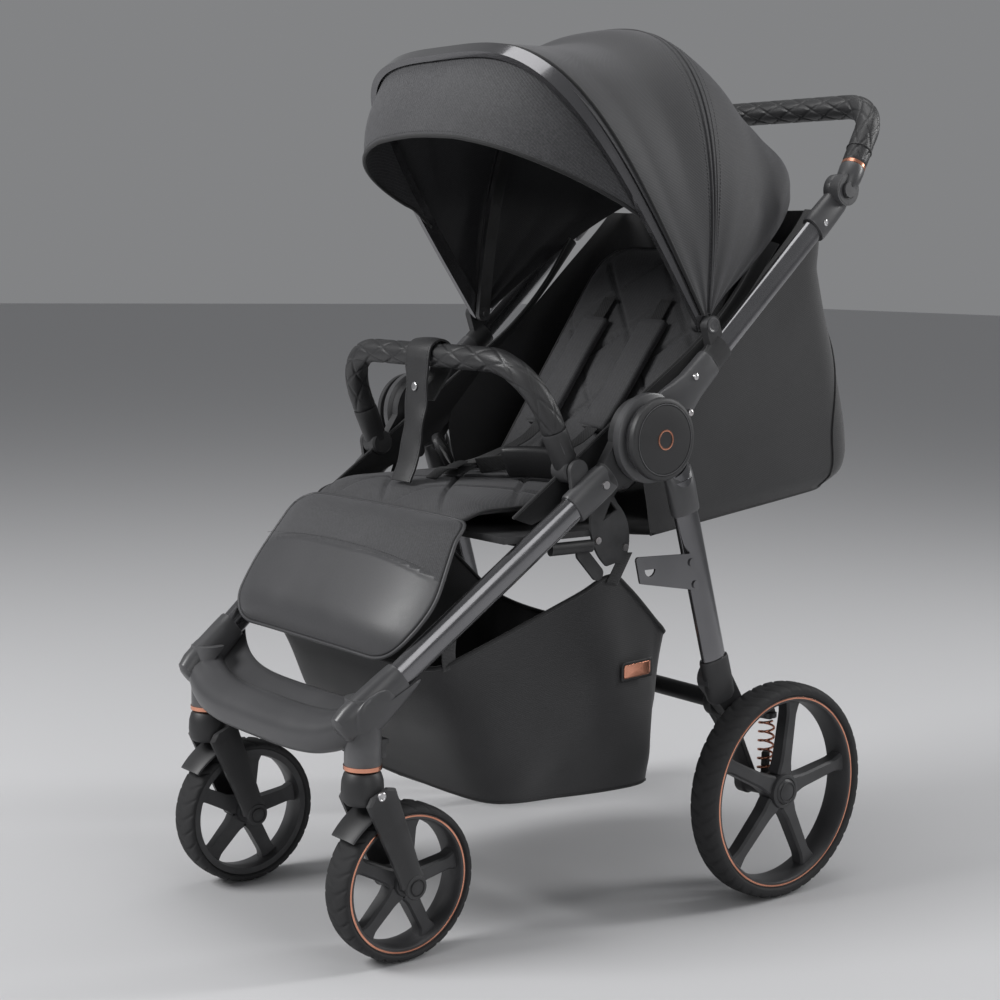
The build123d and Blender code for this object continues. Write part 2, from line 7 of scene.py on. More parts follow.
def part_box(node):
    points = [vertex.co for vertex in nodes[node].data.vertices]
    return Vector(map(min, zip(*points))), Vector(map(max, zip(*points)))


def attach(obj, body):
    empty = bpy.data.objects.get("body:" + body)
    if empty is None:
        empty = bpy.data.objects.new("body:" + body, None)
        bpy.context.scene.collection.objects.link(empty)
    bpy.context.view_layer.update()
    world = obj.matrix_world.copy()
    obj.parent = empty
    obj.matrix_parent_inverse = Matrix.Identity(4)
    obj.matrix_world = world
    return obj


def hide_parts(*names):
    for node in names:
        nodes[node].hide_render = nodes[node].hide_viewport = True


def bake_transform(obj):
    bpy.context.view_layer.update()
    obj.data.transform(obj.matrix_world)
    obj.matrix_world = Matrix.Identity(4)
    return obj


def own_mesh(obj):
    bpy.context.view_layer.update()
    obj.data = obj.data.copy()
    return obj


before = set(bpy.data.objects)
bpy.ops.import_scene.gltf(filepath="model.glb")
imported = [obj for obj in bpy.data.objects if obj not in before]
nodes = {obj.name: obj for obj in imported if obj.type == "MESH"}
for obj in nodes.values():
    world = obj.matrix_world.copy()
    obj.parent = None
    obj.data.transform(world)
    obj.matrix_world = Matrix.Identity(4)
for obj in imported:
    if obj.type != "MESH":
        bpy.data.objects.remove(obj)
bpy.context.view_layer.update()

# ======================================================================================
# Wheels. Each is a grooved foam tyre on a moulded black rim of five spokes, with a
# polished rose-tone ring pressed into the rim's outer face and a domed cap on the hub.
# The tyres are turned profiles whose tread is cut by moving the points of the crown.
# ======================================================================================


def node_middle(name):
    low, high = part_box(name)
    return (low + high) / 2


front_axle = node_middle("front_tyre_left")


def spot(x, y, z):
    """A point in millimetres: x from the middle, y back from the front axle, z up from the floor."""
    return Vector((x / 1000, front_axle.y + y / 1000, z / 1000))


def mesh_piece(name, points, faces, smooth=True):
    mesh = bpy.data.meshes.new(name)
    mesh.from_pydata([tuple(p) for p in points], [], faces)
    mesh.validate()
    if smooth:
        mesh.polygons.foreach_set("use_smooth", [True] * len(mesh.polygons))
    piece = bpy.data.objects.new(name, mesh)
    bpy.context.scene.collection.objects.link(piece)
    return piece


def loft_piece(name, rows, closed=False, capped=False, looped=False):
    """A skin over rows of points; closed joins each row's ends, looped joins the last row to the first."""
    count = len(rows[0])
    points = [p for row in rows for p in row]
    faces = []
    for i in range(len(rows) if looped else len(rows) - 1):
        n = (i + 1) % len(rows)
        for j in range(count if closed else count - 1):
            k = (j + 1) % count
            faces.append((i * count + j, i * count + k, n * count + k, n * count + j))
    if capped:
        faces.append(tuple(range(count))[::-1])
        faces.append(tuple(range((len(rows) - 1) * count, len(rows) * count)))
    piece = mesh_piece(name, points, faces)
    outward(piece)
    return piece


def outward(piece):
    shape = bmesh.new()
    shape.from_mesh(piece.data)
    bmesh.ops.recalc_face_normals(shape, faces=shape.faces)
    shape.to_mesh(piece.data)
    shape.free()


def apply_all(piece):
    """Turns a piece's modifiers into plain mesh."""
    seen = piece.evaluated_get(bpy.context.evaluated_depsgraph_get())
    mesh = bpy.data.meshes.new_from_object(seen)
    piece.modifiers.clear()
    piece.data = mesh
    return piece


def crease_by_angle(piece, degrees_=35):
    piece.data.set_sharp_from_angle(angle=radians(degrees_))
    return piece




def join(name, *parts):
    """Puts several meshes into one piece, keeping their materials."""
    for part in parts:
        part.data.transform(part.matrix_world)
        part.matrix_world = Matrix.Identity(4)
    shape = bmesh.new()
    materials = []
    for part in parts:
        part_start = len(shape.faces)
        shape.from_mesh(part.data)
        shape.faces.ensure_lookup_table()
        for face in shape.faces[part_start:]:
            finish_of = part.data.materials[face.material_index] if part.data.materials else None
            if finish_of not in materials:
                materials.append(finish_of)
            face.material_index = materials.index(finish_of)
    mesh = bpy.data.meshes.new(name)
    shape.to_mesh(mesh)
    shape.free()
    for finish_of in materials:
        mesh.materials.append(finish_of)
    piece = bpy.data.objects.new(name, mesh)
    bpy.context.scene.collection.objects.link(piece)
    for part in parts:
        bpy.data.objects.remove(part)
    return piece


def turned(name, profile, centre, steps=96, axis=(1, 0, 0)):
    """A shape turned round the axis through centre; profile is (along the axis, radius) in millimetres."""
    ahead = Vector(axis).normalized()
    out = ahead.orthogonal().normalized()
    rows = []
    for i in range(steps):
        spin = Matrix.Rotation(tau * i / steps, 3, ahead)
        rows.append([centre + ahead * (a / 1000) + spin @ (out * (r / 1000)) for a, r in profile])
    piece = loft_piece(name, rows, looped=True)
    shape = bmesh.new()
    shape.from_mesh(piece.data)
    bmesh.ops.remove_doubles(shape, verts=shape.verts, dist=1e-6)
    bmesh.ops.recalc_face_normals(shape, faces=shape.faces)
    shape.to_mesh(piece.data)
    shape.free()
    return crease_by_angle(piece, 40)


# ---- shared effects for finishes, as node groups ---------------------------------------------------
def add_group(name, inputs, outputs):
    group = bpy.data.node_groups.new(name, "ShaderNodeTree")
    kinds = {"value": "NodeSocketFloat", "colour": "NodeSocketColor"}
    for title, kind, start in inputs:
        socket = group.interface.new_socket(title, in_out="INPUT", socket_type=kinds[kind])
        socket.default_value = start
    for title, kind in outputs:
        group.interface.new_socket(title, in_out="OUTPUT", socket_type=kinds[kind])
    return group, group.nodes.new("NodeGroupInput"), group.nodes.new("NodeGroupOutput")


def add_node(tree, kind, **settings):
    node = tree.nodes.new(kind)
    for key, value in settings.items():
        setattr(node, key, value)
    return node


def sums(tree, operation, a, b=None):
    """A Math node on sockets or numbers; returns its output."""
    node = add_node(tree, "ShaderNodeMath", operation=operation)
    for i, value in enumerate((a, b)):
        if value is None:
            continue
        if isinstance(value, (int, float)):
            node.inputs[i].default_value = value
        else:
            tree.links.new(value, node.inputs[i])
    return node.outputs[0]


def mixed(tree, share, a, b):
    """Mixes two colours by a share socket; returns the colour output."""
    node = add_node(tree, "ShaderNodeMix", data_type="RGBA")
    tree.links.new(share, node.inputs[0])
    for socket, value in ((node.inputs[6], a), (node.inputs[7], b)):
        if isinstance(value, tuple):
            socket.default_value = (*value, 1)
        else:
            tree.links.new(value, socket)
    return node.outputs[2]


def object_point(tree):
    return add_node(tree, "ShaderNodeTexCoord").outputs["Object"]


def noise_of(tree, point, scale, detail=3.0, rough=0.55):
    node = add_node(tree, "ShaderNodeTexNoise")
    tree.links.new(point, node.inputs["Vector"])
    for title, value in (("Scale", scale), ("Detail", detail), ("Roughness", rough)):
        if isinstance(value, (int, float)):
            node.inputs[title].default_value = value
        else:
            tree.links.new(value, node.inputs[title])
    return node.outputs["Fac"]


def stretch(tree, value, low, high, to_low=0.0, to_high=1.0):
    node = add_node(tree, "ShaderNodeMapRange")
    tree.links.new(value, node.inputs["Value"])
    node.inputs["From Min"].default_value = low
    node.inputs["From Max"].default_value = high
    node.inputs["To Min"].default_value = to_low
    node.inputs["To Max"].default_value = to_high
    return node.outputs["Result"]


# Moulded grain: the fine speckled texture of spark-eroded plastic, with worn, paler edges.
moulded_grain, come, go = add_group(
    "moulded grain",
    [("Colour", "colour", (0.02, 0.02, 0.02, 1)), ("Scale", "value", 900.0), ("Shine", "value", 0.45),
     ("Edge", "value", 0.4)],
    [("Colour", "colour"), ("Roughness", "value"), ("Height", "value")],
)
point = object_point(moulded_grain)
grain = noise_of(moulded_grain, point, come.outputs["Scale"], 2.0)
cloud = noise_of(moulded_grain, point, 14.0, 4.0)
pointed = add_node(moulded_grain, "ShaderNodeNewGeometry").outputs["Pointiness"]
edge = stretch(moulded_grain, pointed, 0.52, 0.62)
edge = sums(moulded_grain, "MULTIPLY", edge, come.outputs["Edge"])
edge = sums(moulded_grain, "MULTIPLY", edge, stretch(moulded_grain, cloud, 0.35, 0.6))
tint = sums(moulded_grain, "MULTIPLY", stretch(moulded_grain, cloud, 0.3, 0.7, 0.0, 0.3), 1.0)
pale = add_node(moulded_grain, "ShaderNodeMixRGB", blend_type="ADD")
pale.inputs[0].default_value = 1.0
moulded_grain.links.new(come.outputs["Colour"], pale.inputs[1])
pale.inputs[2].default_value = (0.03, 0.03, 0.031, 1)
coloured = mixed(moulded_grain, tint, come.outputs["Colour"], pale.outputs[0])
coloured = mixed(moulded_grain, edge, coloured, (0.16, 0.16, 0.165))
moulded_grain.links.new(coloured, go.inputs["Colour"])
rough = sums(moulded_grain, "ADD", come.outputs["Shine"],
    stretch(moulded_grain, cloud, 0.3, 0.7, -0.06, 0.08))
moulded_grain.links.new(rough, go.inputs["Roughness"])
moulded_grain.links.new(grain, go.inputs["Height"])


def finish(name, effect, settings, bump=0.0002, strength=0.5, **surface):
    """A material from one effect group; surface values go straight onto the shader's sockets."""
    material = bpy.data.materials.new(name)
    material.use_nodes = True
    tree = material.node_tree
    shader = tree.nodes["Principled BSDF"]
    use = add_node(tree, "ShaderNodeGroup")
    use.node_tree = effect
    for title, value in settings.items():
        use.inputs[title].default_value = (*value, 1) if isinstance(value, tuple) else value
    tree.links.new(use.outputs["Colour"], shader.inputs["Base Color"])
    tree.links.new(use.outputs["Roughness"], shader.inputs["Roughness"])
    raised = add_node(tree, "ShaderNodeBump")
    raised.inputs["Distance"].default_value = bump
    raised.inputs["Strength"].default_value = strength
    tree.links.new(use.outputs["Height"], raised.inputs["Height"])
    tree.links.new(raised.outputs["Normal"], shader.inputs["Normal"])
    for title, value in surface.items():
        socket = shader.inputs[title.replace("_", " ")]
        socket.default_value = (*value, 1) if isinstance(value, tuple) else value
    material.diffuse_color = (*settings.get("Colour", (0.1, 0.1, 0.1)), 1)
    return material


def coat(piece, *materials):
    piece.data.materials.clear()
    for material in materials:
        piece.data.materials.append(material)
    return piece


def recoat(material, *names):
    """Gives CAD nodes a finish."""
    for name in names:
        coat(nodes[name], material)


tyre_rubber = finish("foam tyre rubber", moulded_grain,
                     {"Colour": (0.022, 0.022, 0.023), "Scale": 1100.0, "Shine": 0.72, "Edge": 0.25},
                     bump=0.0003, strength=0.6, Specular_IOR_Level=0.35)
rim_plastic = finish("rim plastic", moulded_grain,
                     {"Colour": (0.030, 0.030, 0.032), "Scale": 1500.0, "Shine": 0.42, "Edge": 0.3},
                     bump=0.0001, strength=0.35)


# Brushed tone: lacquered bright metal with faint turning lines and small colour changes.
turned_metal, come, go = add_group(
    "turned metal",
    [("Colour", "colour", (0.8, 0.4, 0.3, 1)), ("Shine", "value", 0.2)],
    [("Colour", "colour"), ("Roughness", "value"), ("Height", "value")],
)
point = object_point(turned_metal)
lines = noise_of(turned_metal, point, 700.0, 4.0, 0.7)
cloud = noise_of(turned_metal, point, 25.0, 3.0)
deep = add_node(turned_metal, "ShaderNodeMixRGB", blend_type="MULTIPLY")
deep.inputs[0].default_value = 1.0
turned_metal.links.new(come.outputs["Colour"], deep.inputs[1])
deep.inputs[2].default_value = (0.72, 0.66, 0.64, 1)
coloured = mixed(turned_metal, stretch(turned_metal, cloud, 0.4, 0.75), come.outputs["Colour"],
    deep.outputs[0])
turned_metal.links.new(coloured, go.inputs["Colour"])
rough = sums(turned_metal, "ADD", come.outputs["Shine"], stretch(turned_metal, lines, 0.3, 0.7, -0.04, 0.06))
turned_metal.links.new(rough, go.inputs["Roughness"])
turned_metal.links.new(lines, go.inputs["Height"])

rose_metal = finish("rose metal", turned_metal, {"Colour": (0.86, 0.40, 0.27), "Shine": 0.22},
                    bump=0.00004, strength=0.3, Metallic=1.0)
bright_steel = finish("bright steel", turned_metal, {"Colour": (0.62, 0.62, 0.63), "Shine": 0.3},
                      bump=0.00004, strength=0.3, Metallic=1.0)


def tyre_piece(name, centre, radius, width, seat):
    """A tyre with curved tread grooves running from the middle of the crown down each shoulder."""
    steps = 432
    half = width / 2
    rise = radius - seat
    profile = [(-half + 4, seat + 0.2), (-half + 1.2, seat + 1.5), (-half + 0.2, seat + rise * 0.22)]
    for i in range(25):
        turn = pi * i / 24
        across = -half * (abs(cos(turn)) ** 0.72) * (1 if cos(turn) > 0 else -1)
        up = seat + rise * 0.30 + rise * 0.70 * sin(turn) ** 0.62
        profile.append((across, up))
    profile += [(half - 0.2, seat + rise * 0.22), (half - 1.2, seat + 1.5), (half - 4, seat + 0.2)]
    grooves = round(tau * radius / 21)
    rows = []
    for i in range(steps):
        angle = tau * i / steps
        row = []
        for across, r in profile:
            share = abs(across) / half
            crown = max(0.0, (r - seat - rise * 0.45) / (rise * 0.55))
            side = 0.5 if across > 0 else 0.0
            phase = (angle * grooves / tau + side + 0.62 * share ** 1.6) % 1.0
            near = min(phase, 1 - phase) * (tau * radius / grooves)
            cut = 1.7 * exp(-((near / 1.9) ** 4)) * min(1.0, crown * 2.2) * (0 if share < 0.10 else 1)
            ring = 1.2 * exp(-(((share - 0.05) * half / 1.1) ** 4))
            drop = (cut + ring * min(1.0, crown)) / 1000
            spin = Vector((0, cos(angle), sin(angle)))
            inward = 0.35 * drop if share > 0.8 else 0
            row.append(centre + Vector((across / 1000 * (1 - inward * 20), 0, 0)) + spin * (r / 1000 - drop))
        rows.append(row)
    piece = loft_piece(name, rows, closed=True, looped=True)
    return crease_by_angle(coat(piece, tyre_rubber), 50)


def rim_piece(name, centre, seat, hub, out):
    """A five-spoke rim: deep barrel, flat spokes that widen at both ends, and a stepped hub."""
    barrel = [(-18 * out, seat), (19 * out, seat), (19 * out, seat - 5.5), (16.5 * out, seat - 7.5),
              (-8 * out, seat - 10), (-18 * out, seat - 8), (-18 * out, seat)]
    parts = [turned(name + "_barrel", barrel, centre, 120)]
    drum = [(-12 * out, 5.2), (-12 * out, hub - 2), (-9 * out, hub), (12 * out, hub), (16 * out, hub - 1.5),
        (17 * out, hub - 4)]
    drum += [(17 * out, hub - 6), (16 * out, hub - 7), (18.5 * out, hub - 9),
        (20.5 * out, (hub - 8) * 0.55), (21 * out, 0.0)]
    parts.append(turned(name + "_hub", drum, centre, 72))
    for i in range(5):
        angle = tau * i / 5 + pi / 2 - radians(8)
        along_spoke = Vector((0, cos(angle), sin(angle)))
        across = Vector((0, -sin(angle), cos(angle)))
        rows = []
        reach = seat - 8 - (hub - 2)
        for k in range(13):
            share = k / 12
            r = hub - 2 + reach * share
            flare = 3.2 * exp(-((share / 0.12) ** 2)) + 4.5 * exp(-(((1 - share) / 0.10) ** 2))
            half = 10.6 - 1.6 * share + flare
            front = 12.5 - 2.0 * share
            back = -6.5
            ring = [(-half, back), (-half + 0.6, front - 3), (-half + 3.2, front), (half - 3.2, front),
                (half - 0.6, front - 3), (half, back)]
            rows.append([centre + along_spoke * (r / 1000) + across * (a / 1000) + Vector((out * b / 1000,
                0, 0)) for a, b in ring])
        spoke = loft_piece(name + "_spoke", rows, closed=True, capped=True)
        parts.append(crease_by_angle(spoke, 30))
    piece = join(name, *parts)
    return coat(piece, rim_plastic)


def ring_band(name, centre, radius, face_x, width=1.5, proud=0.9):
    band = [(face_x - 1.4, radius - width), (face_x + proud * 0.7, radius - width + 0.3),
        (face_x + proud, radius - width * 0.4)]
    band += [(face_x + proud, radius + width * 0.4), (face_x + proud * 0.7, radius + width - 0.3),
        (face_x - 1.4, radius + width)]
    return coat(turned(name, band, centre, 160), rose_metal)


for side, out in (("left", 1), ("right", -1)):
    for end, body in (("front", "front_wheel_"), ("rear", "rear_wheel_")):
        tyre_node = end + "_tyre_" + side
        low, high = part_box(tyre_node)
        trim_low, trim_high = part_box(end + "_trim_" + side)
        middle = node_middle(tyre_node)
        radius = (high.z - low.z) * 500
        trim_radius = (trim_high.z - trim_low.z) * 500 - 1.4
        seat = trim_radius + 2
        tyre = tyre_piece(end + "_tread_" + side, middle, radius, 44.0, seat)
        rim = rim_piece(end + "_spoked_rim_" + side, middle, seat, 17 if end == "front" else 24, out)
        trim = ring_band(end + "_bright_ring_" + side, middle, trim_radius, 18.6 * out, proud=0.9 * out)
        cap_radius = 9.5 if end == "front" else 12.5
        cap_ring = coat(turned(end + "_cap_ring_" + side,
                               [(19.6 * out, cap_radius + 1.2), (20.6 * out, cap_radius + 0.8),
                               (20.7 * out, cap_radius - 0.3),
                                (19.6 * out, cap_radius - 0.8)], middle, 64), rim_plastic)
        for piece, node in ((tyre, tyre_node), (rim, end + "_rim_" + side), (trim, end + "_trim_" + side)):
            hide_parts(node)
            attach(piece, body + side)
        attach(cap_ring, body + side)

# ======================================================================================
# Hood. Close twill stretched over two pressed bows that turn on one hinge line: a front
# panel with a welt behind the glossy front bow, a rear panel behind a double-piped seam,
# and a stitched visor that flips out under the front bow.
# ======================================================================================

# Woven cloth: two sets of threads crossing at a slant, with cloudy differences in the yarn's tone.
woven_cloth, come, go = add_group(
    "woven cloth",
    [("Colour", "colour", (0.02, 0.02, 0.02, 1)), ("Thread", "colour", (0.06, 0.06, 0.06, 1)),
     ("Pitch", "value", 1.6), ("Roughness", "value", 0.8), ("Mottle", "value", 0.5)],
    [("Colour", "colour"), ("Roughness", "value"), ("Height", "value")],
)
point = object_point(woven_cloth)
axes = add_node(woven_cloth, "ShaderNodeSeparateXYZ")
woven_cloth.links.new(point, axes.inputs[0])
pitch = sums(woven_cloth, "DIVIDE", tau * 1000, come.outputs["Pitch"])
warp_at = sums(woven_cloth, "ADD", axes.outputs[0], sums(woven_cloth, "MULTIPLY", axes.outputs[1], 0.83))
weft_at = sums(woven_cloth, "ADD", axes.outputs[2], sums(woven_cloth, "MULTIPLY", axes.outputs[1], -0.41))
warp = sums(woven_cloth, "SINE", sums(woven_cloth, "MULTIPLY", warp_at, pitch))
weft = sums(woven_cloth, "SINE", sums(woven_cloth, "MULTIPLY", weft_at, pitch))
slant = sums(woven_cloth, "SINE",
    sums(woven_cloth, "MULTIPLY", sums(woven_cloth, "ADD", warp_at, weft_at),
    sums(woven_cloth, "MULTIPLY", pitch, 0.5)))
cross = sums(woven_cloth, "MULTIPLY", warp, weft)
weave = sums(woven_cloth, "ADD", sums(woven_cloth, "MULTIPLY", cross, 0.5),
    sums(woven_cloth, "MULTIPLY", slant, 0.35))
yarn = noise_of(woven_cloth, point, 420.0, 3.0, 0.7)
cloud = noise_of(woven_cloth, point, 9.0, 3.0)
shown = sums(woven_cloth, "ADD", stretch(woven_cloth, weave, -0.8, 0.8, 0.0, 0.6),
    stretch(woven_cloth, yarn, 0.35, 0.65, -0.25, 0.45))
shown = sums(woven_cloth, "MULTIPLY", shown, come.outputs["Mottle"])
shown = sums(woven_cloth, "ADD", shown, stretch(woven_cloth, cloud, 0.3, 0.7, -0.08, 0.10))
limited = add_node(woven_cloth, "ShaderNodeClamp")
woven_cloth.links.new(shown, limited.inputs["Value"])
woven_cloth.links.new(mixed(woven_cloth, limited.outputs[0], come.outputs["Colour"],
    come.outputs["Thread"]), go.inputs["Colour"])
rough = sums(woven_cloth, "ADD", come.outputs["Roughness"], stretch(woven_cloth, yarn, 0.3, 0.7, -0.06, 0.08))
woven_cloth.links.new(rough, go.inputs["Roughness"])
woven_cloth.links.new(sums(woven_cloth, "ADD", weave, yarn), go.inputs["Height"])

hood_twill = finish("hood twill", woven_cloth,
                    {"Colour": (0.018, 0.018, 0.020), "Thread": (0.052, 0.052, 0.056), "Pitch": 1.5,
                    "Roughness": 0.62, "Mottle": 0.55},
                    bump=0.00022, strength=0.5, Sheen_Weight=0.25, Sheen_Roughness=0.45,
                    Sheen_Tint=(0.6, 0.6, 0.62))
visor_twill = finish("visor twill", woven_cloth,
                     {"Colour": (0.030, 0.030, 0.033), "Thread": (0.105, 0.105, 0.11), "Pitch": 2.2,
                     "Roughness": 0.66, "Mottle": 0.8},
                     bump=0.0004, strength=0.7, Sheen_Weight=0.3, Sheen_Roughness=0.45,
                     Sheen_Tint=(0.6, 0.6, 0.62))
binding_tape = finish("binding tape", woven_cloth,
                      {"Colour": (0.008, 0.008, 0.009), "Thread": (0.022, 0.022, 0.023), "Pitch": 1.2,
                      "Roughness": 0.7, "Mottle": 0.5},
                      bump=0.0002, strength=0.5, Sheen_Weight=0.15, Sheen_Roughness=0.5)


def smooth_line(points, count):
    """Evenly spaced points on a smooth line through the given ones."""
    points = [Vector(p) for p in points]
    ends = [points[0] * 2 - points[1]] + points + [points[-1] * 2 - points[-2]]
    dense = []
    for i in range(1, len(ends) - 2):
        a, b, c, d = ends[i - 1:i + 3]
        for k in range(24):
            t = k / 24
            dense.append(0.5 * ((2 * b) + (c - a) * t + (2 * a - 5 * b + 4 * c - d) * t * t
                + (3 * b - a - 3 * c + d) * t ** 3))
    dense.append(points[-1].copy())
    lengths = [0.0]
    for a, b in zip(dense, dense[1:]):
        lengths.append(lengths[-1] + (b - a).length)
    line, k = [], 0
    for i in range(count):
        want = lengths[-1] * i / (count - 1)
        while k < len(dense) - 2 and lengths[k + 1] < want:
            k += 1
        share = (want - lengths[k]) / max(1e-9, lengths[k + 1] - lengths[k])
        line.append(dense[k].lerp(dense[k + 1], min(1.0, share)))
    return line


def line_length(line):
    return sum((b - a).length for a, b in zip(line, line[1:]))


def eased(table, at):
    """A smooth value from rising (position, value) pairs."""
    if at <= table[0][0]:
        return table[0][1]
    for (a, low), (b, high) in zip(table, table[1:]):
        if at <= b:
            t = (at - a) / (b - a)
            return low + (high - low) * t * t * (3 - 2 * t)
    return table[-1][1]


def curved_value(table, at):
    """A value from a smooth curve through (position, value) pairs."""
    table = sorted(table)
    for i in range(len(table) - 1):
        a, b = table[i], table[i + 1]
        if at <= b[0] or i == len(table) - 2:
            before = table[i - 1] if i else a
            after = table[i + 2] if i + 2 < len(table) else b
            t = max(0.0, min(1.0, (at - a[0]) / (b[0] - a[0])))
            m0 = (b[1] - before[1]) / (b[0] - before[0]) * (b[0] - a[0])
            m1 = (after[1] - a[1]) / (after[0] - a[0]) * (b[0] - a[0])
            return ((2 * t ** 3 - 3 * t ** 2 + 1) * a[1] + (t ** 3 - 2 * t ** 2 + t) * m0
                + (3 * t ** 2 - 2 * t ** 3) * b[1] + (t ** 3 - t ** 2) * m1)


def piping(name, line, radius, material, steps=8, taper=False):
    """A round welt or cord sewn along a line."""
    rows = []
    for i, p in enumerate(line):
        ahead = (line[min(i + 1, len(line) - 1)] - line[max(i - 1, 0)]).normalized()
        side = ahead.cross(Vector((0.13, 0.31, 0.94))).normalized()
        up = ahead.cross(side)
        r = radius * (0.35 if taper and i in (0, len(line) - 1) else 1)
        rows.append([p + side * (r * cos(tau * k / steps)) + up * (r * sin(tau * k / steps))
            for k in range(steps)])
    return coat(loft_piece(name, rows, closed=True, capped=True), material)


def thicken(piece, depth, offset=0.0):
    solid = piece.modifiers.new("cloth", "SOLIDIFY")
    solid.thickness = depth
    solid.offset = offset
    return apply_all(piece)


def skin_area(piece):
    return sum(face.area for face in piece.data.polygons)


def skin(name, rows, material, depth=0.0012):
    piece = coat(loft_piece(name, rows), material)
    area = skin_area(piece)
    thicken(piece, depth)
    piece.data.polygons.foreach_set("use_smooth", [True] * len(piece.data.polygons))
    crease_by_angle(piece, 60)
    return piece, area


hood_hinge = spot(0, 428, 757)
hood_heights = [(36.5, 420), (22, 377), (10, 366), (-4.5, 386), (-28, 347), (-38, 346), (-50, 362),
    (-54, 352)]
hood_widths = [(-54, 216), (-46, 228), (-34, 236), (-20, 240), (14, 240), (36.5, 240)]
hood_powers = [(-54, 2.7), (9, 2.7), (24, 3.1), (36.5, 3.8)]


def arch_point(share, half_width, height, lean, ahead=0.0, power=2.7):
    """A point of an arch over the hinge line; share runs from 0 at the right foot, over the top, to 1."""
    turn = pi * share
    across = -cos(turn)
    x = half_width * (1 if across > 0 else -1) * abs(across) ** (2 / power)
    up = height * abs(sin(turn)) ** (2 / power)
    tip = radians(lean)
    y = -up * sin(tip) - ahead * cos(tip)
    z = up * cos(tip) - ahead * sin(tip)
    return hood_hinge + Vector((x / 1000, y / 1000, z / 1000))


def hood_point(share, lean, proud=0.0):
    height = curved_value(hood_heights, lean) + proud
    half = eased(hood_widths, lean) + proud
    return arch_point(share, half, height, lean, 0.0, eased(hood_powers, lean))


def foot_share(lean, low, height):
    """Where an arch's foot starts so that it stands low above the hinge."""
    power = eased(hood_powers, lean)
    return atan2((low / height) ** (power / 2), sqrt(1 - (low / height) ** power)) / pi


def hood_rows(leans, low, columns=97, proud=0.0, ripple=0.0):
    rows = []
    for lean in leans:
        start = foot_share(lean, low, curved_value(hood_heights, lean))
        row = []
        for i in range(columns):
            share = start + (1 - 2 * start) * i / (columns - 1)
            p = hood_point(share, lean, proud)
            if ripple:
                wave = noise.noise(Vector((p.x * 5.0, lean * 0.09, p.z * 4.0))) * ripple
                pull = max(0.0, 1 - abs(share - 0.5) * 2.0) * 0.4 + 0.6
                p += (p - hood_hinge - Vector((p.x * 0.3, 0, 0))).normalized() * wave * pull
            row.append(p)
        rows.append(row)
    return rows


front_leans = [35.6 - 40.1 * i / 40 for i in range(41)]
front_panel, area = skin("hood_front_cloth", hood_rows(front_leans, 14, ripple=0.0022), hood_twill)
front_edge = hood_rows([8], 14)[0]
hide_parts("hood_front_panel")
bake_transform(front_panel)

rear_leans = [-4.6 - 49.4 * i / 36 for i in range(37)]
rear_panel, area = skin("hood_rear_cloth", hood_rows(rear_leans, 14, ripple=0.003), hood_twill)
rear_edge = hood_rows([-38], 14)[0]
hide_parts("hood_rear_panel")
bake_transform(rear_panel)

for index, (lean, proud, radius) in enumerate(((33.8, 0.6, 0.0024), (-3.2, 0.7, 0.0019),
        (-5.0, 0.7, 0.0019), (-6.6, 0.3, 0.0015))):
    welt = piping("hood_welt_" + str(index + 1), hood_rows([lean], 16, 121, proud)[0], radius,
        binding_tape if index == 0 else hood_twill)
    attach(welt, "hood_front" if index == 0 else "hood_middle")

# The visor: from under the front bow forward and down to a bound edge.
visor_half, visor_squareness = 220, 3.6
visor_front, visor_sweep = 137, 165
visor_low, visor_rise = 987, 85
visor_foot = (230, 336, 880)
edge_half = []
for i in range(13):
    turn = i / 12
    x = visor_half * sin(pi / 2 * turn) ** (2 / visor_squareness)
    edge_half.append((x, visor_front + visor_sweep * turn ** 1.6, visor_low - visor_rise * turn ** 1.3))
edge_half.append(visor_foot)
edge_points = [spot(-x, y, z) for x, y, z in edge_half[:0:-1]] + [spot(x, y, z) for x, y, z in edge_half]
columns = 121
lower_line = smooth_line(edge_points, columns)
start = foot_share(36.5, 153, 412)
upper_line = [arch_point(start + (1 - 2 * start) * i / (columns - 1), 229.5, 411, 36.5, 3,
    3.8) for i in range(columns)]
visor_rows = []
for i in range(19):
    t = i / 18
    row = []
    for a, b in zip(upper_line, lower_line):
        run = (b - a).length
        p = a.lerp(b, t)
        out = Vector((p.x * 0.7, -0.55, 0.25)).normalized()
        swell = 0.075 * run * sin(pi * t)
        ripple = noise.noise(Vector((p.x * 9, t * 1.5, 3.1))) * 0.0018 * sin(pi * t)
        row.append(p + out * (swell + ripple))
    visor_rows.append(row)
visor, area = skin("visor_cloth", visor_rows, visor_twill)
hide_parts("hood_visor")
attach(visor, "visor")
visor_hem = piping("visor_hem", lower_line, 0.0026, binding_tape)
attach(visor_hem, "visor")


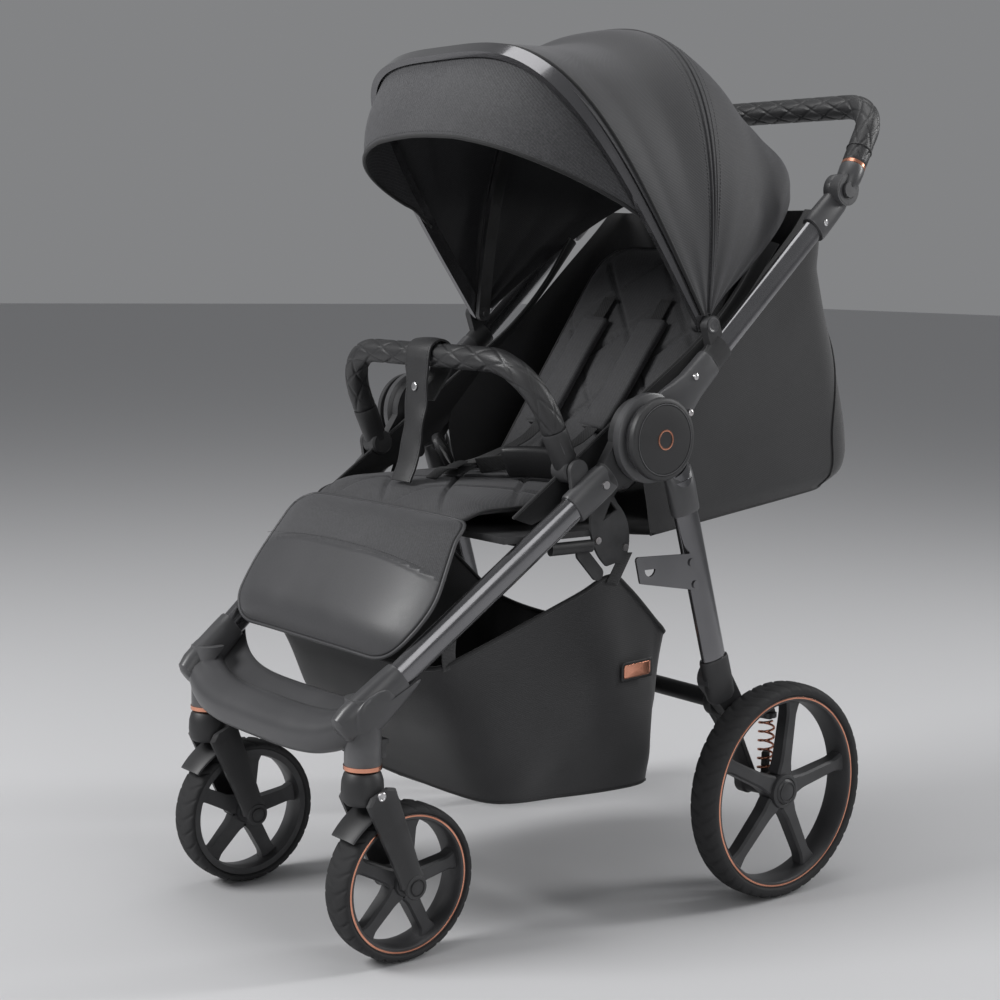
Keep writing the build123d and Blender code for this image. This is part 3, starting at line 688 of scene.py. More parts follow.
def stitches(name, line, material, length=0.0032, gap=0.0016, radius=0.00045, lift=Vector((0, 0, 0))):
    """A row of sewn stitches lying on a line."""
    total = line_length(line)
    count = max(2, int(total / (length + gap)))
    dense = smooth_line(line, count * 3 + 1)
    points, faces = [], []
    for i in range(count):
        a, b = dense[i * 3] + lift, dense[i * 3 + 2] + lift
        ahead = (b - a).normalized()
        side = ahead.cross(Vector((0.21, 0.93, 0.31))).normalized()
        up = ahead.cross(side)
        first = len(points)
        for share, r in ((0.0, 0.35), (0.25, 1.0), (0.75, 1.0), (1.0, 0.35)):
            p = a.lerp(b, share)
            points += [p + side * (radius * r * cos(tau * k / 5)) + up * (radius * r * sin(tau * k / 5))
                for k in range(5)]
        for ring in range(3):
            for k in range(5):
                low = first + ring * 5
                faces.append((low + k, low + (k + 1) % 5, low + 5 + (k + 1) % 5, low + 5 + k))
        faces.append(tuple(first + k for k in range(5)))
        faces.append(tuple(first + 15 + k for k in range(5)))
    piece = mesh_piece(name, points, faces)
    outward(piece)
    return coat(piece, material)


sewing_thread = finish("sewing thread", woven_cloth,
                       {"Colour": (0.035, 0.035, 0.038), "Thread": (0.10, 0.10, 0.105), "Pitch": 0.6,
                       "Roughness": 0.55, "Mottle": 0.5},
                       bump=0.0001, strength=0.4, Sheen_Weight=0.2)
hem_line = [row for row in zip(*visor_rows)]
hem_line = [column[17] for column in hem_line]
visor_stitch = stitches("visor_stitch", hem_line, sewing_thread, lift=Vector((0, -0.0008, 0)))
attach(visor_stitch, "visor")
for index, lean in enumerate((-1.4, -8.4)):
    seam = stitches("hood_stitch_" + str(index + 1), hood_rows([lean], 20, 121, 0.9)[0], sewing_thread)
    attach(seam, "hood_middle")

# The glossy front bow keeps its pressed shape; the inner bow is black. Both feet sit in moulded
# hinge knuckles with a round screw cover.
painted_metal, come, go = add_group(
    "painted metal",
    [("Colour", "colour", (0.05, 0.05, 0.055, 1)), ("Shine", "value", 0.15), ("Peel", "value", 1.0)],
    [("Colour", "colour"), ("Roughness", "value"), ("Height", "value")],
)
point = object_point(painted_metal)
peel = noise_of(painted_metal, point, 260.0, 1.0)
cloud = noise_of(painted_metal, point, 7.0, 3.0)
smudge = noise_of(painted_metal, point, 38.0, 5.0, 0.6)
lighter = add_node(painted_metal, "ShaderNodeMixRGB", blend_type="MULTIPLY")
lighter.inputs[0].default_value = 1.0
painted_metal.links.new(come.outputs["Colour"], lighter.inputs[1])
lighter.inputs[2].default_value = (1.35, 1.33, 1.32, 1)
pointed = add_node(painted_metal, "ShaderNodeNewGeometry").outputs["Pointiness"]
worn = stretch(painted_metal, pointed, 0.56, 0.70, 0.0, 0.35)
coloured = mixed(painted_metal, stretch(painted_metal, cloud, 0.3, 0.7), come.outputs["Colour"],
    lighter.outputs[0])
coloured = mixed(painted_metal, worn, coloured, (0.30, 0.30, 0.31))
painted_metal.links.new(coloured, go.inputs["Colour"])
rough = sums(painted_metal, "ADD", come.outputs["Shine"],
    stretch(painted_metal, smudge, 0.35, 0.7, -0.03, 0.07))
painted_metal.links.new(rough, go.inputs["Roughness"])
painted_metal.links.new(sums(painted_metal, "MULTIPLY", peel, come.outputs["Peel"]), go.inputs["Height"])

gloss_tube = finish("gloss tube", painted_metal,
    {"Colour": (0.135, 0.135, 0.142), "Shine": 0.16, "Peel": 0.6},
                    bump=0.00005, strength=0.15, Metallic=0.85, Coat_Weight=0.6, Coat_Roughness=0.06)
black_coat = finish("black powder coat", painted_metal,
    {"Colour": (0.016, 0.016, 0.017), "Shine": 0.42, "Peel": 1.0},
                    bump=0.0001, strength=0.4, Metallic=0.0, Coat_Weight=0.1, Coat_Roughness=0.3)
satin_plastic = finish("satin plastic", moulded_grain,
    {"Colour": (0.060, 0.060, 0.063), "Scale": 1600.0, "Shine": 0.36, "Edge": 0.4},
                       bump=0.00006, strength=0.3, Coat_Weight=0.15, Coat_Roughness=0.3)
black_plastic = finish("black plastic", moulded_grain,
    {"Colour": (0.018, 0.018, 0.019), "Scale": 1300.0, "Shine": 0.46, "Edge": 0.35},
                       bump=0.0001, strength=0.35)
recoat(gloss_tube, "hood_bow_front")
recoat(black_plastic, "hood_bow_middle", "hood_clamps")
for side, out in (("left", 1), ("right", -1)):
    cap = turned("hood_hinge_cap_" + side,
        [(-1.0 * out, 10.5), (2.4 * out, 10.0), (3.6 * out, 8.6), (3.2 * out, 6.2), (2.6 * out, 5.6),
        (2.8 * out, 2.0), (2.2 * out, 0.0)],
                 spot(248.0 * out, 428, 757), 48)
    coat(cap, satin_plastic)
    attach(cap, "upper_frame")

# ======================================================================================
# Leg rest. A padded board that hangs from the seat's front edge: woven cloth on its upper
# part, leatherette below a topstitched seam, and a piped edge all round.
# ======================================================================================

# Leather grain: pebbled cells broken by finer creases.
leather_grain, come, go = add_group(
    "leather grain",
    [("Colour", "colour", (0.02, 0.02, 0.02, 1)), ("Scale", "value", 500.0), ("Shine", "value", 0.45)],
    [("Colour", "colour"), ("Roughness", "value"), ("Height", "value")],
)
point = object_point(leather_grain)
cells = add_node(leather_grain, "ShaderNodeTexVoronoi", feature="DISTANCE_TO_EDGE")
leather_grain.links.new(point, cells.inputs["Vector"])
leather_grain.links.new(come.outputs["Scale"], cells.inputs["Scale"])
pebble = stretch(leather_grain, cells.outputs["Distance"], 0.0, 0.25)
fine = noise_of(leather_grain, point, 1400.0, 3.0, 0.7)
cloud = noise_of(leather_grain, point, 11.0, 4.0)
paler = add_node(leather_grain, "ShaderNodeMixRGB", blend_type="ADD")
paler.inputs[0].default_value = 1.0
leather_grain.links.new(come.outputs["Colour"], paler.inputs[1])
paler.inputs[2].default_value = (0.018, 0.018, 0.019, 1)
share = sums(leather_grain, "ADD", sums(leather_grain, "MULTIPLY", pebble, 0.45),
    stretch(leather_grain, cloud, 0.3, 0.7, -0.1, 0.35))
leather_grain.links.new(mixed(leather_grain, share, come.outputs["Colour"], paler.outputs[0]),
    go.inputs["Colour"])
rough = sums(leather_grain, "ADD", come.outputs["Shine"],
    stretch(leather_grain, pebble, 0.0, 1.0, 0.10, -0.05))
rough = sums(leather_grain, "ADD", rough, stretch(leather_grain, cloud, 0.3, 0.7, -0.04, 0.05))
leather_grain.links.new(rough, go.inputs["Roughness"])
leather_grain.links.new(sums(leather_grain, "ADD", pebble, sums(leather_grain, "MULTIPLY", fine, 0.35)),
    go.inputs["Height"])

black_leather = finish("black leatherette", leather_grain,
    {"Colour": (0.020, 0.020, 0.021), "Scale": 620.0, "Shine": 0.40},
                       bump=0.00016, strength=0.5, Coat_Weight=0.08, Coat_Roughness=0.4)
grey_leather = finish("charcoal leatherette", leather_grain,
    {"Colour": (0.050, 0.050, 0.053), "Scale": 700.0, "Shine": 0.42},
                      bump=0.00014, strength=0.45, Coat_Weight=0.08, Coat_Roughness=0.4)
melange = finish("seat melange", woven_cloth,
                 {"Colour": (0.030, 0.030, 0.032), "Thread": (0.090, 0.090, 0.095), "Pitch": 1.6,
                 "Roughness": 0.72, "Mottle": 0.8},
                 bump=0.0003, strength=0.6, Sheen_Weight=0.3, Sheen_Roughness=0.45,
                 Sheen_Tint=(0.6, 0.6, 0.62))


def puffed(name, outline, place, depth_front, depth_back, rings=14, crown=1.0, channel=None):
    """A stuffed pad over a flat outline of (across, up) metres: the edge is a sewn seam, both faces are
    crowned, and channel(a, b) from 0 to 1 sinks the stitched lines into the front."""
    count = len(outline)
    centre = (sum(p[0] for p in outline) / count, sum(p[1] for p in outline) / count)
    reach = min(hypot(p[0] - centre[0], p[1] - centre[1]) for p in outline)
    points, faces = [], []
    for face_side, depth in ((1, depth_front), (-1, depth_back)):
        for i in range(rings + 1):
            t = (i / rings) ** 0.8
            for a, b in outline:
                x = centre[0] + (a - centre[0]) * t
                y = centre[1] + (b - centre[1]) * t
                edge = (1 - t) * reach
                rise = depth * (1 - exp(-edge / (0.010 + 0.008 * crown))) * (0.86 + 0.14 * (1 - t ** 2))
                if channel and face_side > 0:
                    rise -= channel(x, y) * min(0.0055, depth * 0.45) * (1 - exp(-edge / 0.01))
                points.append(place(x, y, face_side * rise))
    block = (rings + 1) * count
    for side_index in range(2):
        for i in range(rings):
            for j in range(count):
                k = (j + 1) % count
                low = side_index * block + i * count
                faces.append((low + j, low + k, low + count + k, low + count + j))
    for j in range(count):
        k = (j + 1) % count
        front, back = rings * count, block + rings * count
        faces.append((front + j, front + k, back + k, back + j))
    piece = mesh_piece(name, points, faces)
    shape = bmesh.new()
    shape.from_mesh(piece.data)
    bmesh.ops.remove_doubles(shape, verts=shape.verts, dist=0.00005)
    bmesh.ops.recalc_face_normals(shape, faces=shape.faces)
    shape.to_mesh(piece.data)
    shape.free()
    piece.data.polygons.foreach_set("use_smooth", [True] * len(piece.data.polygons))
    return piece


def rounded_outline(corners, count):
    """Evenly spaced points round a polygon with rounded corners, given as (x, y, radius) in metres."""
    line = []
    n = len(corners)
    for i in range(n):
        x, y, r = corners[i]
        before, after = Vector(corners[i - 1][:2]), Vector(corners[(i + 1) % n][:2])
        here = Vector((x, y))
        a, b = (before - here).normalized(), (after - here).normalized()
        half = a.angle(b) / 2
        reach = r / max(0.2, sin(half) / cos(half)) if r else 0.0
        start, end = here + a * reach, here + b * reach
        for k in range(13):
            t = k / 12
            line.append((1 - t) ** 2 * start + 2 * t * (1 - t) * here + t * t * end)
    line.append(line[0])
    lengths = [0.0]
    for a, b in zip(line, line[1:]):
        lengths.append(lengths[-1] + (b - a).length)
    even, k = [], 0
    for i in range(count):
        want = lengths[-1] * i / count
        while lengths[k + 1] < want:
            k += 1
        share = (want - lengths[k]) / max(1e-9, lengths[k + 1] - lengths[k])
        p = line[k].lerp(line[k + 1], share)
        even.append((p.x, p.y))
    return even


leg_turn = radians(55.2)
leg_origin = spot(0, 79, 530)
leg_down = Vector((0, -cos(leg_turn), -sin(leg_turn)))
leg_out = Vector((0, -sin(leg_turn), cos(leg_turn)))


def on_leg_rest(a, b, out=0.0):
    """a across, b down the board's face, out from the face, in metres; the board's top and foot curl back."""
    bend = 0.012 * max(0.0, (0.035 - b) / 0.035) ** 2 + 0.008 * max(0.0, (b - 0.150) / 0.037) ** 2
    side = 0.010 * (abs(a) / 0.19) ** 4
    return leg_origin + Vector((a, 0, 0)) + leg_down * b + leg_out * (out - bend - side)


leg_outline = rounded_outline(
    [(-0.176, -0.004, 0.030), (0.176, -0.004, 0.030), (0.203, 0.110, 0.10), (0.186, 0.193, 0.068),
    (-0.186, 0.193, 0.068), (-0.203, 0.110, 0.10)], 240)


def leg_place(a, b, out):
    return on_leg_rest(a, b, out - 0.004)


def leg_seam(a, b):
    return exp(-(((b - leg_seam_at(a)) / 0.0016) ** 2)) * 0.5


def leg_seam_at(a):
    return 0.071 + 0.010 * (abs(a) / 0.19) ** 2


leg_pad = puffed("leg_rest_pad", leg_outline, leg_place, 0.0155, 0.010, 30, 1.0, leg_seam)
coat(leg_pad, melange, grey_leather, binding_tape)
for face in leg_pad.data.polygons:
    here = face.center - leg_origin
    down = here.dot(leg_down)
    if face.normal.dot(leg_out) < -0.2:
        face.material_index = 2
    elif down > leg_seam_at(here.x):
        face.material_index = 1
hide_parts("leg_rest")
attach(leg_pad, "footrest")


def closed_line(points):
    return list(points) + [points[0]]


leg_edge = closed_line([leg_place(a * 1.004, b, 0.0) for a, b in leg_outline])
leg_piping = piping("leg_rest_piping", leg_edge, 0.0023, grey_leather)
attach(leg_piping, "footrest")
seam_line = [leg_place(a, leg_seam_at(a) - 0.0045,
    0.0155 * (0.99 - 0.03 * (abs(a) / 0.17) ** 3)) for a in [-0.176 + 0.352 * i / 60 for i in range(61)]]
leg_stitch = stitches("leg_rest_stitch", seam_line, sewing_thread, lift=leg_out * 0.0002)
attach(leg_stitch, "footrest")

# ======================================================================================
# Seat pad and backrest. Two quilted cushions in a soft melange cloth, diamond stitched,
# with a piped edge; the backrest's board reclines behind it.
# ======================================================================================


def diamond(pitch_a, pitch_b, width):
    """Sewn lines that cross as diamonds; 1 on a line and 0 between."""
    def line(a, b):
        u, v = a / pitch_a + b / pitch_b, a / pitch_a - b / pitch_b
        near = min(abs(u - round(u)), abs(v - round(v)))
        return exp(-((near / width) ** 2))
    return line


seat_low, seat_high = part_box("seat_cushion")
seat_front, seat_back = seat_low.y, seat_high.y
seat_long = seat_back - seat_front
seat_outline = rounded_outline([(-0.164, 0.0, 0.03), (0.164, 0.0, 0.03), (0.164, seat_long, 0.02),
    (-0.164, seat_long, 0.02)], 220)


def seat_place(a, b, out):
    roll = 0.016 * max(0.0, (0.05 - b) / 0.05) ** 2
    return Vector((a, seat_front + b, spot(0, 0, 530).z + out - roll + 0.004 * b / seat_long))


seat_pad = puffed("seat_pad", seat_outline, seat_place, 0.0205, 0.015, 40, 1.0, diamond(0.125, 0.125, 0.035))
coat(seat_pad, melange)
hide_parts("seat_cushion")
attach(seat_pad, "front_frame")
seat_edge = closed_line([seat_place(a * 1.003, b, 0) for a, b in seat_outline])
seat_piping = piping("seat_pad_piping", seat_edge, 0.0022, binding_tape)
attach(seat_piping, "front_frame")

back_base, back_top = spot(0, 375, 545), spot(0, 590, 870)
back_up = (back_top - back_base).normalized()
back_out = Vector((0, -back_up.z, back_up.y))
back_long = (back_top - back_base).length
back_outline = rounded_outline([(-0.148, 0.0, 0.03), (0.148, 0.0, 0.03), (0.146, back_long - 0.004, 0.06),
    (-0.146, back_long - 0.004, 0.06)], 220)


def back_place(a, b, out):
    hollow = 0.006 * (1 - (a / 0.15) ** 2)
    return back_base + Vector((a, 0, 0)) + back_up * b + back_out * (out - 0.015 - hollow)


back_pad = puffed("backrest_pad", back_outline, back_place, 0.020, 0.014, 44, 1.0, diamond(0.12, 0.12, 0.035))
coat(back_pad, melange)
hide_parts("backrest")
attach(back_pad, "seat_back")
back_edge = closed_line([back_place(a * 1.003, b, 0) for a, b in back_outline])
back_piping = piping("backrest_piping", back_edge, 0.0022, binding_tape)
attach(back_piping, "seat_back")

# ======================================================================================
# Harness. Flat webbing from two slots in the backrest to padded shoulder sleeves, a
# buckle on the seat pad and a waist pad each side; the crotch cover straps the grab bar.
# ======================================================================================


def flat_strap(name, line, width, depth, across, material):
    """A flat strap along a line; across is the direction of its width."""
    rows = []
    for i, p in enumerate(line):
        ahead = (line[min(i + 1, len(line) - 1)] - line[max(i - 1, 0)]).normalized()
        side = (across - ahead * across.dot(ahead)).normalized()
        up = ahead.cross(side)
        ring = []
        for k in range(12):
            turn = tau * k / 12
            c, s = cos(turn), sin(turn)
            ring.append(p + side * (width / 2 * abs(c) ** 0.3 * (1 if c >= 0 else -1))
                + up * (depth / 2 * abs(s) ** 0.6 * (1 if s >= 0 else -1)))
        rows.append(ring)
    return coat(loft_piece(name, rows, closed=True, capped=True), material)


webbing = finish("harness webbing", woven_cloth,
                 {"Colour": (0.012, 0.012, 0.013), "Thread": (0.045, 0.045, 0.047), "Pitch": 2.4,
                 "Roughness": 0.6, "Mottle": 0.7},
                 bump=0.0004, strength=0.7, Sheen_Weight=0.15)
sideways = Vector((1, 0, 0))
buckle_at = spot(0, 218, 561)
for side, out in (("left", 1), ("right", -1)):
    shoulder = [back_place(0.058 * out, 0.285, 0.024), back_place(0.060 * out, 0.20, 0.030),
        back_place(0.058 * out, 0.11, 0.034),
                back_place(0.052 * out, 0.045, 0.045), spot(40 * out, 300, 572), spot(20 * out, 245, 566)]
    strap = flat_strap("shoulder_strap_" + side, smooth_line(shoulder, 60), 0.024, 0.0018, sideways, webbing)
    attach(strap, "seat_back")
    sleeve_line = smooth_line(shoulder, 60)[6:34]
    sleeve = flat_strap("shoulder_pad_" + side, sleeve_line, 0.050, 0.013, sideways, melange)
    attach(sleeve, "seat_back")
    waist = [spot(158 * out, 318, 560), spot(125 * out, 285, 575), spot(78 * out, 248, 577),
        spot(30 * out, 226, 568)]
    belt_line = smooth_line(waist, 40)
    belt = flat_strap("waist_strap_" + side, belt_line, 0.024, 0.0018, Vector((0, -0.55, 0.83)), webbing)
    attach(belt, "front_frame")
    hip = flat_strap("waist_pad_" + side, belt_line[8:30], 0.045, 0.013, Vector((0, -0.55, 0.83)),
        black_leather)
    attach(hip, "front_frame")

buckle_parts = []
for a, b, depth, rise in ((0.021, 0.020, 0.012, 0.0), (0.013, 0.012, 0.005, 0.008)):
    outline = rounded_outline([(-a, -b, 0.007), (a, -b, 0.007), (a * 0.86, b, 0.009),
        (-a * 0.86, b, 0.009)], 60)
    buckle_parts.append(puffed("buckle_part", outline, lambda x, y, z,
        rise=rise: buckle_at + Vector((x, y * 0.94 - (z + rise) * 0.30, (z + rise) * 0.95 + y * 0.30)),
        depth * 0.6, depth * 0.4, 8))
buckle = coat(join("harness_buckle", *buckle_parts), black_plastic)
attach(buckle, "front_frame")
crotch_strap = flat_strap("crotch_webbing",
    smooth_line([spot(0, 172, 552), spot(0, 190, 563), spot(0, 207, 564)], 16), 0.024, 0.0018, sideways,
    webbing)
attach(crotch_strap, "front_frame")

# The crotch cover: a stitched leatherette strap from under the seat pad's front, up in front of the
# grab bar, over it and down behind, closed with a press stud.
bar_at = spot(0, 168, 712)
cover_line = [spot(0, 124, 551), spot(0, 136, 580), spot(0, 146, 640), spot(0, 148, 680), spot(0, 147.5, 705)]
for k in range(9):
    turn = pi - pi * k / 8 * 1.12
    cover_line.append(bar_at + Vector((0, 0.0198 * cos(turn), 0.0198 * sin(turn))))
cover_line += [spot(0, 184, 690), spot(0, 172, 672), spot(0, 160, 655)]
dense_cover = smooth_line(cover_line, 110)
cover_rows = []
for i, p in enumerate(dense_cover):
    ahead = (dense_cover[min(i + 1, 109)] - dense_cover[max(i - 1, 0)]).normalized()
    up = sideways.cross(ahead).normalized()
    share = i / 109
    half = 0.0205 + 0.0045 * exp(-(((share - 0.60) / 0.20) ** 2))
    crease = 0.0015 * sin(share * 31) * exp(-(((share - 0.35) / 0.2) ** 2))
    row = []
    for k in range(17):
        a = -1 + 2 * k / 16
        row.append(p + sideways * (half * a) + up * (crease * a + 0.0016 * (1 - a * a)))
    cover_rows.append(row)
cover, area = skin("crotch_cover", cover_rows, black_leather, 0.0028)
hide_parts("crotch_strap")
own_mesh(cover)
for index, edge in enumerate((1, 15)):
    line = [row[edge] for row in cover_rows]
    thread = stitches("crotch_cover_stitch_" + str(index + 1), line, sewing_thread,
        lift=Vector((0, -0.0016, 0.0003)))
    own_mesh(thread)
    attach(thread, "front_frame")
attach(cover, "front_frame")
stud = coat(turned("crotch_cover_stud", [(0.0, 5.6), (1.2, 5.4), (1.9, 4.2), (1.6, 2.4), (1.9, 0.0)],
    spot(0, 144, 672), 40, (0, -1, 0.05)), bright_steel)
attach(stud, "front_frame")

# ======================================================================================
# Handle and grab bar. Bent tubes covered in diamond-quilted leatherette sewn along the
# inside of the bend, with moulded end caps, release buttons and a bright ring at the cap.
# ======================================================================================


def rounded_run(corners, radius, step=0.004):
    """A smooth line along straight runs whose corners are arcs of one radius."""
    corners = [Vector(p) for p in corners]
    line = [corners[0]]
    for before, here, after in zip(corners, corners[1:], corners[2:]):
        a, b = (before - here).normalized(), (after - here).normalized()
        half = a.angle(b) / 2
        reach = radius * cos(half) / sin(half)
        centre = here + (a + b).normalized() * (radius / sin(half))
        start, end = here + a * reach, here + b * reach
        count = max(6, int((pi - 2 * half) * radius / step))
        first, last = start - centre, end - centre
        turn_axis = first.cross(last).normalized()
        for k in range(count + 1):
            line.append(centre + Matrix.Rotation((pi - 2 * half) * k / count, 3, turn_axis) @ first)
    line.append(corners[-1])
    even = [line[0]]
    for a, b in zip(line, line[1:]):
        count = max(1, int((b - a).length / step))
        even += [a.lerp(b, k / count) for k in range(1, count + 1)]
    return even


def quilted_tube(name, line, radius, diamonds_round, diamond_long, depth, material, steps=72,
        plain_ends=0.006):
    """A round cover on a bent tube, with crossing sewn channels between softly puffed diamonds."""
    ahead = (line[1] - line[0]).normalized()
    side = ahead.orthogonal().normalized()
    lengths = [0.0]
    for a, b in zip(line, line[1:]):
        lengths.append(lengths[-1] + (b - a).length)
    rows = []
    for i, p in enumerate(line):
        ahead = (line[min(i + 1, len(line) - 1)] - line[max(i - 1, 0)]).normalized()
        side = (side - ahead * side.dot(ahead)).normalized()
        up = ahead.cross(side)
        end_gap = min(lengths[i], lengths[-1] - lengths[i])
        tuck = 0.0016 * exp(-((end_gap / 0.0025) ** 2))
        fade = 1 if end_gap > plain_ends else 0.3
        row = []
        for k in range(steps):
            turn = k / steps
            u = turn * diamonds_round + lengths[i] / diamond_long
            v = turn * diamonds_round - lengths[i] / diamond_long
            near = min(abs(u - round(u)), abs(v - round(v)))
            r = radius - fade * depth * exp(-((near / 0.055) ** 2)) - 0.15 * depth * (1 - min(1.0,
                near * 2)) - tuck
            row.append(p + (side * cos(tau * turn) + up * sin(tau * turn)) * r)
        rows.append(row)
    return coat(loft_piece(name, rows, closed=True, capped=True), material)


handle_corners = [spot(236, 740, 1052), spot(-236, 740, 1052)]
handle_ends = [spot(256.5, 658, 935), spot(-256.5, 658, 935)]
grip_start = [end + (corner - end).normalized() * 0.041 for end, corner in zip(handle_ends, handle_corners)]
grip_line = rounded_run([grip_start[0], *handle_corners, grip_start[1]], 0.058, 0.0022)
grip = quilted_tube("handle_cover", grip_line, 0.0167, 5, 0.042, 0.0016, black_leather)
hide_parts("handle_grip")
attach(grip, "handlebar")
for index, share in enumerate((0.04, 0.965)):
    at = int(len(grip_line) * share)
    ahead = (grip_line[at + 1] - grip_line[at]).normalized()
    side = ahead.orthogonal().normalized()
    ring = [grip_line[at] + Matrix.Rotation(tau * k / 40, 3, ahead) @ (side * 0.0169) for k in range(41)]
    hoop = piping("handle_seam_" + str(index + 1), ring, 0.0009, black_leather)
    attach(hoop, "handlebar")
recoat(rose_metal, "handle_rings")
recoat(black_coat, "handle_tube")
recoat(satin_plastic, "handle_button_left", "handle_button_right")

for side, out in (("left", 1), ("right", -1)):
    end, corner = handle_ends[0 if out > 0 else 1], handle_corners[0 if out > 0 else 1]
    toward = (corner - end).normalized()
    cup = turned("handle_cup_" + side,
        [(4.0, 12.0), (10.0, 14.5), (20.0, 16.4), (33.0, 16.9), (35.5, 16.4), (35.5, 11.3)], end, 64, toward)
    coat(cup, satin_plastic)
    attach(cup, "handlebar")
    dial = turned("handle_dial_" + side,
        [(0.2 * out, 20.6), (8.0 * out, 21.0), (12.5 * out, 20.4), (14.4 * out, 18.6), (14.4 * out, 13.2),
        (13.2 * out, 12.4), (13.2 * out, 10.8)],
                  spot(249.5 * out, 658, 935), 80)
    coat(dial, satin_plastic)
    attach(dial, "handlebar")

# The moulded sleeve at the top of each upper tube: an oval cup whose lip is rolled, with a knuckle disc.
tube_turn = radians(42.7)
tube_ahead = Vector((0, cos(tube_turn), sin(tube_turn)))
tube_over = Vector((0, -sin(tube_turn), cos(tube_turn)))
pivot = spot(0, 327, 618)


def oval_sleeve(name, centre, ahead, over, profile, material, steps=72, power=2.3):
    """A moulded oval sleeve; profile is (distance along, half across, half deep) in millimetres."""
    rows = []
    for a, wide, deep in profile:
        row = []
        for k in range(steps):
            turn = tau * k / steps
            c, s = cos(turn), sin(turn)
            x = wide / 1000 * abs(c) ** (2 / power) * (1 if c >= 0 else -1)
            y = deep / 1000 * abs(s) ** (2 / power) * (1 if s >= 0 else -1)
            row.append(centre + ahead * (a / 1000) + sideways * x + over * y)
        rows.append(row)
    return crease_by_angle(coat(loft_piece(name, rows, closed=True, capped=True), material), 40)


for side, out in (("left", 1), ("right", -1)):
    at_tube = pivot + Vector((0.245 * out, 0, 0))
    collar = oval_sleeve("handle_sleeve_" + side, at_tube, tube_ahead, tube_over,
                         [(388, 10.6, 16.8), (388, 12.4, 19.2), (391, 13.2, 20.0), (400, 13.4, 20.2),
                         (425, 12.8, 19.6), (446, 11.6, 19.0), (458, 9.0, 17.0), (462, 5.0, 13.0)],
                         satin_plastic)
    knuckle = turned("handle_knuckle_" + side,
        [(-13.0 * out, 0.0), (-13.0 * out, 18.0), (-11.5 * out, 20.6), (-2.0 * out, 21.2),
        (-0.4 * out, 20.4), (-0.4 * out, 6.4)],
                     spot(249.5 * out, 658, 935), 80)
    coat(knuckle, satin_plastic)
    shell = join("adjuster_" + side, collar, knuckle)
    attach(shell, "upper_frame")
    if out > 0:
        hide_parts("adjuster_housings")
    screw = turned("handle_screw_" + side,
        [(0.0, 4.2), (1.4 * out, 4.0), (1.9 * out, 3.0), (1.2 * out, 2.2), (1.2 * out, 0.0)],
        at_tube + tube_ahead * 0.402 + Vector((0.0126 * out, 0, 0)), 32)
    coat(screw, bright_steel)
    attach(screw, "upper_frame")

# The grab bar's cover has the same diamonds; its ends are moulded cups with a release key each.
bar_feet = [spot(205, 229, 580), spot(-205, 229, 580)]
bar_corners = [spot(200, 168, 712), spot(-200, 168, 712)]
bar_start = [foot + (corner - foot).normalized() * 0.052 for foot, corner in zip(bar_feet, bar_corners)]
bar_line = rounded_run([bar_start[0], *bar_corners, bar_start[1]], 0.080, 0.0022)
bar_cover = quilted_tube("grab_bar_cover", bar_line, 0.0158, 4, 0.050, 0.0015, black_leather)
cups = []
for foot, corner in zip(bar_feet, bar_corners):
    toward = (corner - foot).normalized()
    cups.append(coat(turned("cup",
        [(-8.0, 0.0), (-8.0, 9.0), (-4.0, 13.0), (6.0, 15.4), (30.0, 15.9), (50.0, 16.4), (53.0, 15.9),
        (53.0, 11.0)], foot, 64, toward), black_plastic))
    cups.append(coat(turned("cup_disc",
        [(-15.0, 0.0), (-15.0, 14.0), (-12.5, 16.6), (11.5, 16.6), (14.0, 14.4), (14.0, 5.2)], foot, 64,
        (1 if foot.x > 0 else -1, 0, 0)), black_plastic))
grab = join("grab_bar_assembly", bar_cover, *cups)
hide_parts("grab_bar")
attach(grab, "bumper_bar")
for side, out in (("left", 1), ("right", -1)):
    foot, corner = bar_feet[0 if out > 0 else 1], bar_corners[0 if out > 0 else 1]
    toward = (corner - foot).normalized()
    key_outline = rounded_outline([(-0.0075, -0.0125, 0.005), (0.0075, -0.0125, 0.005),
        (0.0075, 0.0125, 0.005), (-0.0075, 0.0125, 0.005)], 48)
    key_across = toward.cross(sideways).normalized()
    key_at = foot + toward * 0.036 + Vector((0.0145 * out, 0, 0))
    key = puffed("grab_key_" + side, key_outline, lambda a, b,
        z: key_at + key_across * a + toward * b + Vector((z * out, 0, 0)), 0.0032, 0.001, 8)
    coat(key, satin_plastic)
    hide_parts("grab_button_" + side)
    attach(key, "bar_press_" + side)

# ======================================================================================
# Frame tubes and fold joint. Oval gloss tubes in moulded sleeves. Each joint is a stack:
# inner housing, upper tube's hub, rear leg's hub and a round cover with a bright ring.
# ======================================================================================
recoat(gloss_tube, "lower_tube_left", "lower_tube_right", "upper_tube_left", "upper_tube_right",
    "rear_leg_left", "rear_leg_right")
recoat(black_plastic, "joint_housings", "bar_sockets", "seat_board", "fold_plates")
recoat(bright_steel, "frame_rivets")
recoat(gloss_tube, "leg_brackets")

